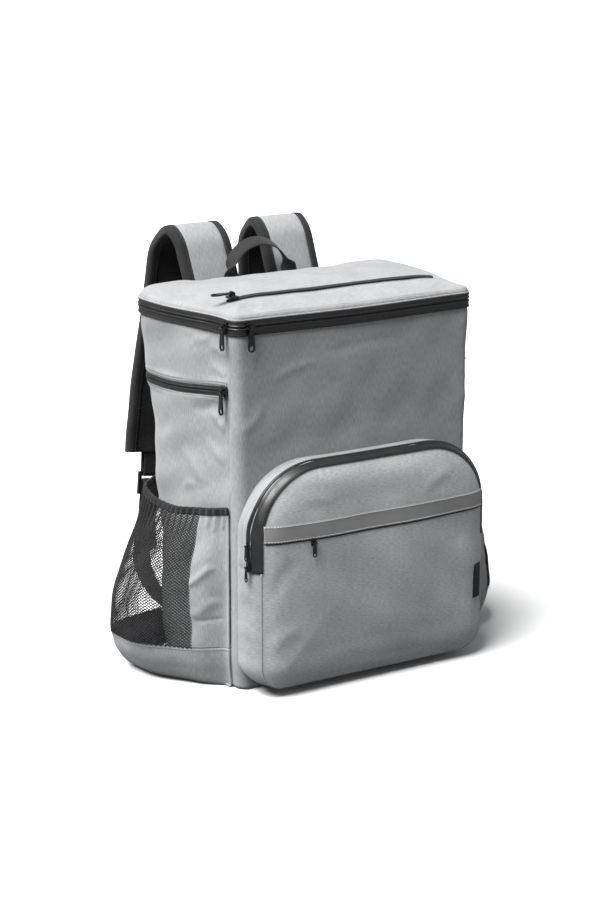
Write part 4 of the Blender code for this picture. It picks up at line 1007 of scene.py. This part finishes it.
def build_pocket_trim():
    """The reflective strip and the blank label, laid on the face and sewn along their top and bottom edges,
    and a thin dark line under the strip: the edge of the zip that opens there, and painted shadow under the
    strip."""
    wide = POCKET_HALF - 0.0015
    patches = (
        ("reflector_band", np.linspace(-wide, wide, 200), np.linspace(STRIP_LOW, STRIP_HIGH, 12), "reflector",
         "reflective_strip", "reflector_stitches", 0.0016, "light_thread", {"radius": 0.00045}),
        ("blank_label", np.linspace(POCKET_HALF - 0.0148, POCKET_HALF - 0.0018, 12),
         np.linspace(LABEL_LOW, LABEL_HIGH, 24), "label",
         "label", "label_stitches", 0.0012, "dark_thread",
         {"pitch": 0.0024, "length": 0.0018, "radius": 0.0003}))
    for name, x, z, finish, solid, seam, inset, thread, sizes in patches:
        cloth(name, face_point(x, z[:, None], TRIM_LIFT), finish, TRIM_THICK, FACE_INSIDE, (solid,))
        rows = [(face_point(x, height, TRIM_LIFT), (0, -1, 0)) for height in (z[0] + inset, z[-1] - inset)]
        stitches(seam, rows, thread, **sizes)
    # A thin dark cord under the strip's lower edge: partly the zip beneath it, partly painted shadow under
    # the strip
    x = np.linspace(-POCKET_HALF + 0.004, POCKET_HALF - 0.004, 160)
    edge = face_point(x, STRIP_LOW - 0.0012, 0.0001)
    tubes("face_zip_edge_shadow", edge[None], (0, -1, 0), 0.0008, "zip_edge", 6)


# Side pockets

PLAN_ALONG = [0.00, 0.03, 0.12, 0.26, 0.42, 0.60, 0.78, 0.91, 1.00]
PLAN_OUT = {
    "left": [0.00, 0.01, 0.34, 0.62, 0.90, 1.00, 0.97, 0.68, 0.00],
    "right": [0.00, 0.02, 0.66, 0.98, 1.08, 1.05, 0.97, 0.68, 0.00],
}
PROFILE_HEIGHT = [0.035, 0.110, 0.235, 0.360, 0.520, 0.700, 0.860, 1.000]
PROFILE_OUT = [0.78, 0.92, 1.00, 0.95, 0.84, 0.62, 0.38, 0.23]
BASE_KNOTS = [0.0, 0.35, 0.50, 0.70, 1.0]
BASE_HEIGHT = [0.0115, 0.0115, 0.035, 0.110, 0.224]
BASE_OUT = [0.06, 0.62, 0.80, 0.92, 0.995]
SLACK_SEED = {"left": 45, "right": 46}
PANEL_FOLDS = [
    (0.014, 0.145, 0.036, 0.120, 0.0040, 0.0022),
    (0.010, 0.105, 0.030, 0.085, 0.0050, 0.0014),
    (0.008, 0.204, 0.011, 0.188, 0.0022, 0.0012),
    (0.018, 0.204, 0.020, 0.184, 0.0024, 0.0013),
    (0.028, 0.203, 0.027, 0.190, 0.0022, 0.0010),
    (0.006, 0.082, 0.026, 0.080, 0.0024, -0.0010),
]
POCKET_RUN = BODY_DEPTH - FRONT_CORNER - BACK_CORNER / 2
NET_LOW, NET_HIGH = 0.222, 0.965
NET_PITCH = 0.0036
NET_REACH = 0.27
NET_CORD = 0.00074


def pocket_wall(name, along, height, out=None, lift=0.0):
    """Side pocket: the wall's surface pushed out by its plan times its side view, gathered at the top."""
    if out is None:
        out = through(PROFILE_HEIGHT, PROFILE_OUT, np.clip(height, PROFILE_HEIGHT[0], 1))
    z = height * SIDE_POCKET_TOP - SIDE_POCKET_DIP * height**3 * np.sin(np.pi * along)
    s = section(z, 0.0006)
    back = s.back - s.corner * (1 - np.sin(np.radians(45)))
    y = s.seam + (back - s.seam) * along
    plan = np.maximum(0, through(PLAN_ALONG, PLAN_OUT[name], along))
    gather = 0.0010 * np.sin(along * 2 * np.pi * 21 + 1.4 * np.sin(along * 17)) * bell(height, 1, 0.14)
    slack = billow(along * 0.18, height * 0.2, SLACK_SEED[name], 0.05, 0.0014)
    slack = slack * np.clip(height * 5 - 0.4, 0, 1)
    ends = np.clip(np.minimum(along, 1 - along) / 0.06, 0, 1)
    x = side_x(y, s) - 0.0026 - SIDE_POCKET_BULGE * out * plan - (gather + slack) * ends - lift
    return joined(x, y, z) * MIRROR[name]


def panel_share(height):
    """The cloth panel's share of the way round, a little wider towards the top; the net takes the rest."""
    return (0.022 + 0.018 * height) / POCKET_RUN


def pocket_out(points, name):
    """Nearly level directions out of a side pocket."""
    return unit((points - SIDE_POCKET_INSIDE * MIRROR[name]) * (1, 1, 0.1))


def build_side_pocket(name):
    """A side pocket: its cloth base, its front panel with creases, the net, the binding and the stitching."""
    inner = SIDE_POCKET_INSIDE * MIRROR[name]
    t = np.linspace(0, 1, 44)[:, None]
    out = through(BASE_KNOTS, BASE_OUT, t)
    base = pocket_wall(name, np.linspace(0, 1, 130), through(BASE_KNOTS, BASE_HEIGHT, t), out)
    cloth("pocket_base_" + name, base, "wall_cloth", POCKET_THICK, inner, ("side_pocket_base_" + name,))
    height = np.linspace(NET_LOW, NET_HIGH, 90)[:, None]
    share = np.linspace(0, 1, 40) * panel_share(height)
    creases = folds(share * POCKET_RUN, height * SIDE_POCKET_TOP, PANEL_FOLDS)
    panel = raised(pocket_wall(name, share, height), inner, creases)
    cloth("pocket_panel_" + name, panel, "wall_cloth", 0.0014, inner, ("side_pocket_panel_" + name,))
    build_net(name)
    along = np.linspace(0, 1, 160)
    top = pocket_wall(name, along, 0.982)
    lip = flat_profile(0.0044, -0.0012, 0.0014, crown=0.0004)
    carried("pocket_binding_" + name, top, unit(top - pocket_wall(name, along, 0.945)), lip, "binding",
            ("side_pocket_binding_" + name,))
    out = pocket_out(pocket_wall(name, along, 0.226), name)
    edge_height = height[:, 0]
    edge = pocket_wall(name, panel_share(edge_height), edge_height, lift=0.0008)
    seams = (
        ("pocket_stitches_", pocket_wall(name, along, 0.212, lift=0.0004), out, "grey_thread", 0.0004),
        ("binding_stitches_", pocket_wall(name, along, 0.968, lift=0.0016), out, "dark_thread", 0.0004),
        ("net_edge_stitches_", edge, pocket_out(edge, name), "grey_thread", 0.0003))
    for seam, line, out, thread, radius in seams:
        stitches(seam + name, [(line, out)], thread, radius=radius)


def build_net(name):
    """Knitted net: upright cords that swing left and right, each touching its neighbours in turn."""
    steps = int((NET_HIGH - NET_LOW) * SIDE_POCKET_TOP / (NET_PITCH * 0.5)) + 1
    height = np.linspace(NET_LOW, NET_HIGH, steps)
    start = panel_share(height)
    cords = int(NET_REACH / NET_PITCH)
    k = np.arange(cords)[:, None]
    swing = 0.5 * np.cos(np.pi * np.arange(steps)) * np.where(k % 2, 1, -1)
    share = np.clip((k + 0.5 + swing) / cords, 0, 1)
    paths = pocket_wall(name, start + (1 - start) * share, height)
    tubes("pocket_net_" + name, paths, pocket_out(paths, name), NET_CORD, "net_cord",
          stands_for=("side_pocket_net_" + name,))


# Straps, webbing and the carrying loop

STRAP_ROUTE = np.array([
    [0.97, 0.00, 0.00, 0.280], [0.97, 0.00, 0.00, 0.150], [0.98, 0.13, 0.00, 0.020],
    [0.99, 0.25, 0.41, 0.000], [1.00, 0.37, 0.79, 0.000], [1.02, 0.56, 1.00, 0.000],
    [1.05, 0.75, 0.80, 0.000], [1.09, 0.89, 0.41, 0.000], [1.16, 0.95, 0.00, 0.100],
    [1.32, 1.02, 0.00, 0.440], [1.48, 1.04, 0.00, 0.730], [1.62, 1.00, 0.00, 1.000],
])
WEBBING_ROUTE = np.array([
    [0.70, 1.00, 0.250], [0.73, 0.96, 0.165], [0.73, 0.66, 0.100], [0.71, 0.30, 0.070],
    [0.68, 0.10, 0.060], [0.65, 0.025, 0.052], [0.64, 0.00, 0.040], [0.64, 0.00, 0.022],
])

# What one unit of the routes measures: a strap's place across, its stand off the back and its reach out,
# its rise above the rim and its drop below it
STRAP_ACROSS = 0.058
STRAP_STAND = 0.0072
STRAP_REACH = 0.100
STRAP_ARCH = 0.057
STRAP_DROP = 0.225
STRAP_STITCHES = [(a, n) for a in (-0.0268, 0.0268) for n in (0.0062, -0.0062)]
TAIL_GAP = 0.0035
TAIL_LENGTH = 0.075

# The upper halves of the strap binding's section, outside and inside, as (across, out)
EDGE_OUTSIDE = np.array([
    (0.0255, 0.0062), (0.0300, 0.0062), (0.0340, 0.0058), (0.0358, 0.0040), (0.0360, 0.0012)])
EDGE_INSIDE = np.array([
    (0.0255, 0.0048), (0.0300, 0.0048), (0.0335, 0.0045), (0.0346, 0.0030), (0.0348, 0.0010)])


def rounded_profile(half_wide, half_thick, power, count=28):
    """A superellipse: the same power of its two shares adds up to one all round."""
    a = np.linspace(np.pi, 0, count // 2)
    x = half_wide * np.sign(np.cos(a)) * np.abs(np.cos(a)) ** (2 / power)
    y = half_thick * np.maximum(np.abs(np.sin(a)) ** (2 / power), 0.02)
    return profile_of(x, y, -y)


def build_strap(name):
    """A strap: its pad, its cloth face, the binding round each edge and the stitching, on one route."""
    side = -MIRROR[name][0]
    x = side * STRAP_ROUTE[:, 0] * STRAP_ACROSS
    y = BACK_Y + STRAP_STAND + STRAP_ROUTE[:, 1] * STRAP_REACH
    z = RIM_HEIGHT + STRAP_ROUTE[:, 2] * STRAP_ARCH - STRAP_ROUTE[:, 3] * STRAP_DROP
    path = smooth_path(joined(x, y, z), 220)
    out = np.cross((1, 0, 0), unit(np.gradient(path, axis=0) * (0, 1, 1)))
    path = path + out * billow(lengths(path), 0, 51, 0.07, 0.0006)[:, None]
    half = STRAP_WIDTH / 2
    pad = carried("strap_" + name, path, (1, 0, 0), rounded_profile(half - 0.0014, 0.0046, 7), "spacer",
                  ("strap_pad_" + name,))
    face = flat_profile(half - 0.0095, 0.0043, 0.0056, 15, 0.0007)
    carried("strap_cloth_" + name, path, (1, 0, 0), face, "wall_cloth", ("strap_face_" + name,))
    outside, inside = (np.vstack([row, row[::-1] * (1, -1)]) for row in (EDGE_OUTSIDE, EDGE_INSIDE))
    shape = np.vstack([outside, inside[::-1]])
    for edge, sign in (("outer", side), ("inner", -side)):
        carried("strap_binding_" + edge + "_" + name, path, (1, 0, 0), shape * (sign, 1), "binding",
                ("strap_edge_" + edge + "_" + name,))
    rows = [(path + (a, 0, 0) + out * n, out * np.sign(n)) for a, n in STRAP_STITCHES]
    stitches("strap_stitches_" + name, rows, "dark_thread")
    build_webbing(name, side, path)


def build_webbing(name, side, path):
    """The tab round the buckle's top bar, and the slack webbing from the bag's foot up to the buckle, round
    its middle bar and down as a tail."""
    centre = np.mean(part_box("buckle_" + name), axis=0)
    down = unit(path[-1] - path[-8])
    across = unit((1, 0, 0) - down * down[0])
    normal = np.cross(across, down)

    def at(v, n):
        """A point v up from the buckle's middle and n out of its plane."""
        return centre - down * v + normal * n

    clear, bar, half_long = 0.0036, 0.0016, 0.014
    top, middle, foot, end = half_long - bar, 0.00084, bar - half_long, half_long + 0.0276

    def round_bar(v, way):
        """The webbing's turn from one side of a bar to the other."""
        return [at(v + way * clear * 0.8, way * -clear * 0.65), at(v + way * clear * 1.1, 0),
                at(v + way * clear * 0.8, way * clear * 0.65)]

    tab = smooth_path([
        at(end, clear + 0.0006), at(top + clear, clear), at(top, clear), *round_bar(top, -1),
        at(top, -clear), at(top + clear, -clear), at(end, -clear - 0.0006)], 90)
    band = flat_profile(WEBBING_WIDTH / 2 - 0.0006, -WEBBING / 2, WEBBING / 2)
    carried("buckle_tab_" + name, tab, across, band, "webbing", ("strap_tab_" + name,))
    x = side * WEBBING_ROUTE[:, 0] * BODY_WIDTH / 2
    z = WEBBING_ROUTE[:, 2] * WALL_HEIGHT
    pad = BACK_PAD_RISE * pad_rise(np.abs(x) - WEBBING_WIDTH / 2, z)
    y = section(z).back + pad + 0.0016 + WEBBING_ROUTE[:, 1] * STRAP_REACH
    slack = smooth_path(np.vstack([at(foot, -clear), joined(x, y, z)]), 110)[::-1]
    off = normal * TAIL_GAP
    tail = at(foot, clear) + off - (0, 0, TAIL_LENGTH)
    hang = at(foot, clear) * 0.6 + tail * 0.4 + off
    wrap = [at(middle, -clear), *round_bar(middle, 1), at(middle, clear), at(foot, clear), hang, tail]
    route = spaced(np.vstack([slack, smooth_path(wrap, 90)]), 220)
    carried("slack_webbing_" + name, route, across, band, "webbing", ("lower_webbing_" + name,))


def build_carry_loop():
    """A webbing arch between the straps: its foot flat on the back, its top turned to lie across the hand."""
    flat = BACK_Y + 0.0020
    foot = [(-LOOP_HALF, flat, RIM_HEIGHT - 0.012), (-LOOP_HALF, flat, RIM_HEIGHT)]
    a = np.radians([150, 120, 90, 60, 30])
    arch = joined(LOOP_HALF * np.cos(a), flat + 0.00608, RIM_HEIGHT + LOOP_RISE * np.sin(a))
    path = smooth_path([*foot, *arch, *(np.array(foot[::-1]) * MIRROR["right"])], 120)
    t = np.clip((path[:, 2:] - RIM_HEIGHT) / 0.022, 0, 1)
    t = t * t * (3 - 2 * t)
    level = joined(np.where(path[:, 0] < 0, 1.0, -1.0), 0, 0)
    tilt = np.radians(24)
    tilted = np.array((0, np.cos(tilt), np.sin(tilt)))
    band = flat_profile(0.0095, -0.0009, 0.0009, crown=0.0003)
    carried("handle", path, level * (1 - t) + tilted * t, band, "webbing", ("carry_loop",))


def finish_hardware():
    """The sliders, pulls and buckles keep their solids, with lacquer or moulded plastic."""
    for name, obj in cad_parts.items():
        if name.endswith(("_slider", "_pull")) or name.startswith("buckle"):
            obj.data.materials.clear()
            obj.data.materials.append(FINISHES["plastic" if name.startswith("buckle") else "lacquer"][1])


build_walls()
build_back()
build_base()
build_lid()
build_zips()
build_pocket()
for half_name in MIRROR:
    build_side_pocket(half_name)
for half_name in MIRROR:
    build_strap(half_name)
build_carry_loop()
finish_hardware()


# Floor, light and camera

FLOOR_RADIUS = 30
FLOOR_RISE = 12.0
SUNS = (("key", (-0.51, -0.03, 0.86), 45.0, 7.8), ("fill", (0.5, -0.75, 0.4), 80.0, 0.10))
SKY = (0.95, 0.97, 1.0, 1)
SKY_STRENGTH = 0.24
AZIMUTH, ELEVATION = np.radians(-32.34), np.radians(14.71)
CAMERA_FAR = 2.778
FOCAL_PIXELS = 2363.7
FRAME_PIXELS = 900
SENSOR = 36
AIM = (-0.0108, 0, 0.2414)


def build_studio():
    """A pale round floor whose outer part turns up by a power of its radius, a wide sun from the upper left,
    a weak one from the right, and an even sky. The floor is darker to all rays but the camera's."""
    u = np.linspace(0, 1, 60)[:, None]
    around = np.linspace(0, 2 * np.pi, 48, endpoint=False)
    z = FLOOR_RISE * np.clip((u - 0.4) / 0.6, 0, 1) ** 2.2
    grid = joined(FLOOR_RADIUS * u * np.cos(around), FLOOR_RADIUS * u * np.sin(around), z)
    floor = bpy.data.objects.new("floor", make_mesh("floor", grid, quads_of(60, 48, True), grid[..., :2]))
    bpy.context.scene.collection.objects.link(floor)
    paper, shader, _, spot = new_material("paper", 0.9, specular=0.1)
    seen = node(paper.node_tree, "LightPath")["Is Camera Ray"]
    feed(shader["Base Color"], blend_colours(seen, grey(0.15), grey(0.90)))
    bump(shader, noise(spot, 300.0), 0.05, 0.0005)
    floor.data.materials.append(paper)
    for name, toward, width, strength in SUNS:
        data = bpy.data.lights.new(name, "SUN")
        data.angle = np.radians(width)
        data.energy = strength
        lamp = bpy.data.objects.new(name, data)
        lamp.rotation_euler = (-Vector(toward)).to_track_quat("-Z", "Y").to_euler()
        bpy.context.scene.collection.objects.link(lamp)
    world = bpy.data.worlds.new("studio")
    bpy.context.scene.world = world
    world.use_nodes = True
    background = world.node_tree.nodes["Background"].inputs
    background[0].default_value = SKY
    background[1].default_value = SKY_STRENGTH


def place_camera():
    """The photograph's view: turned about 32 degrees to the left and raised about 15, looking at the aim."""
    level = np.cos(ELEVATION)
    back = Vector((np.sin(AZIMUTH) * level, -np.cos(AZIMUTH) * level, np.sin(ELEVATION)))
    right = Vector((np.cos(AZIMUTH), np.sin(AZIMUTH), 0))
    data = bpy.data.cameras.new("camera")
    data.sensor_fit = "VERTICAL"
    data.sensor_height = SENSOR
    data.lens = FOCAL_PIXELS / FRAME_PIXELS * SENSOR
    data.clip_end = 50
    camera = bpy.data.objects.new("camera", data)
    turn = Matrix((right, back.cross(right), back)).transposed().to_4x4()
    turn.translation = Vector(AIM) + back * CAMERA_FAR
    camera.matrix_world = turn
    bpy.context.scene.collection.objects.link(camera)
    bpy.context.scene.camera = camera


build_studio()
place_camera()
bpy.context.scene.view_settings.view_transform = "Standard"
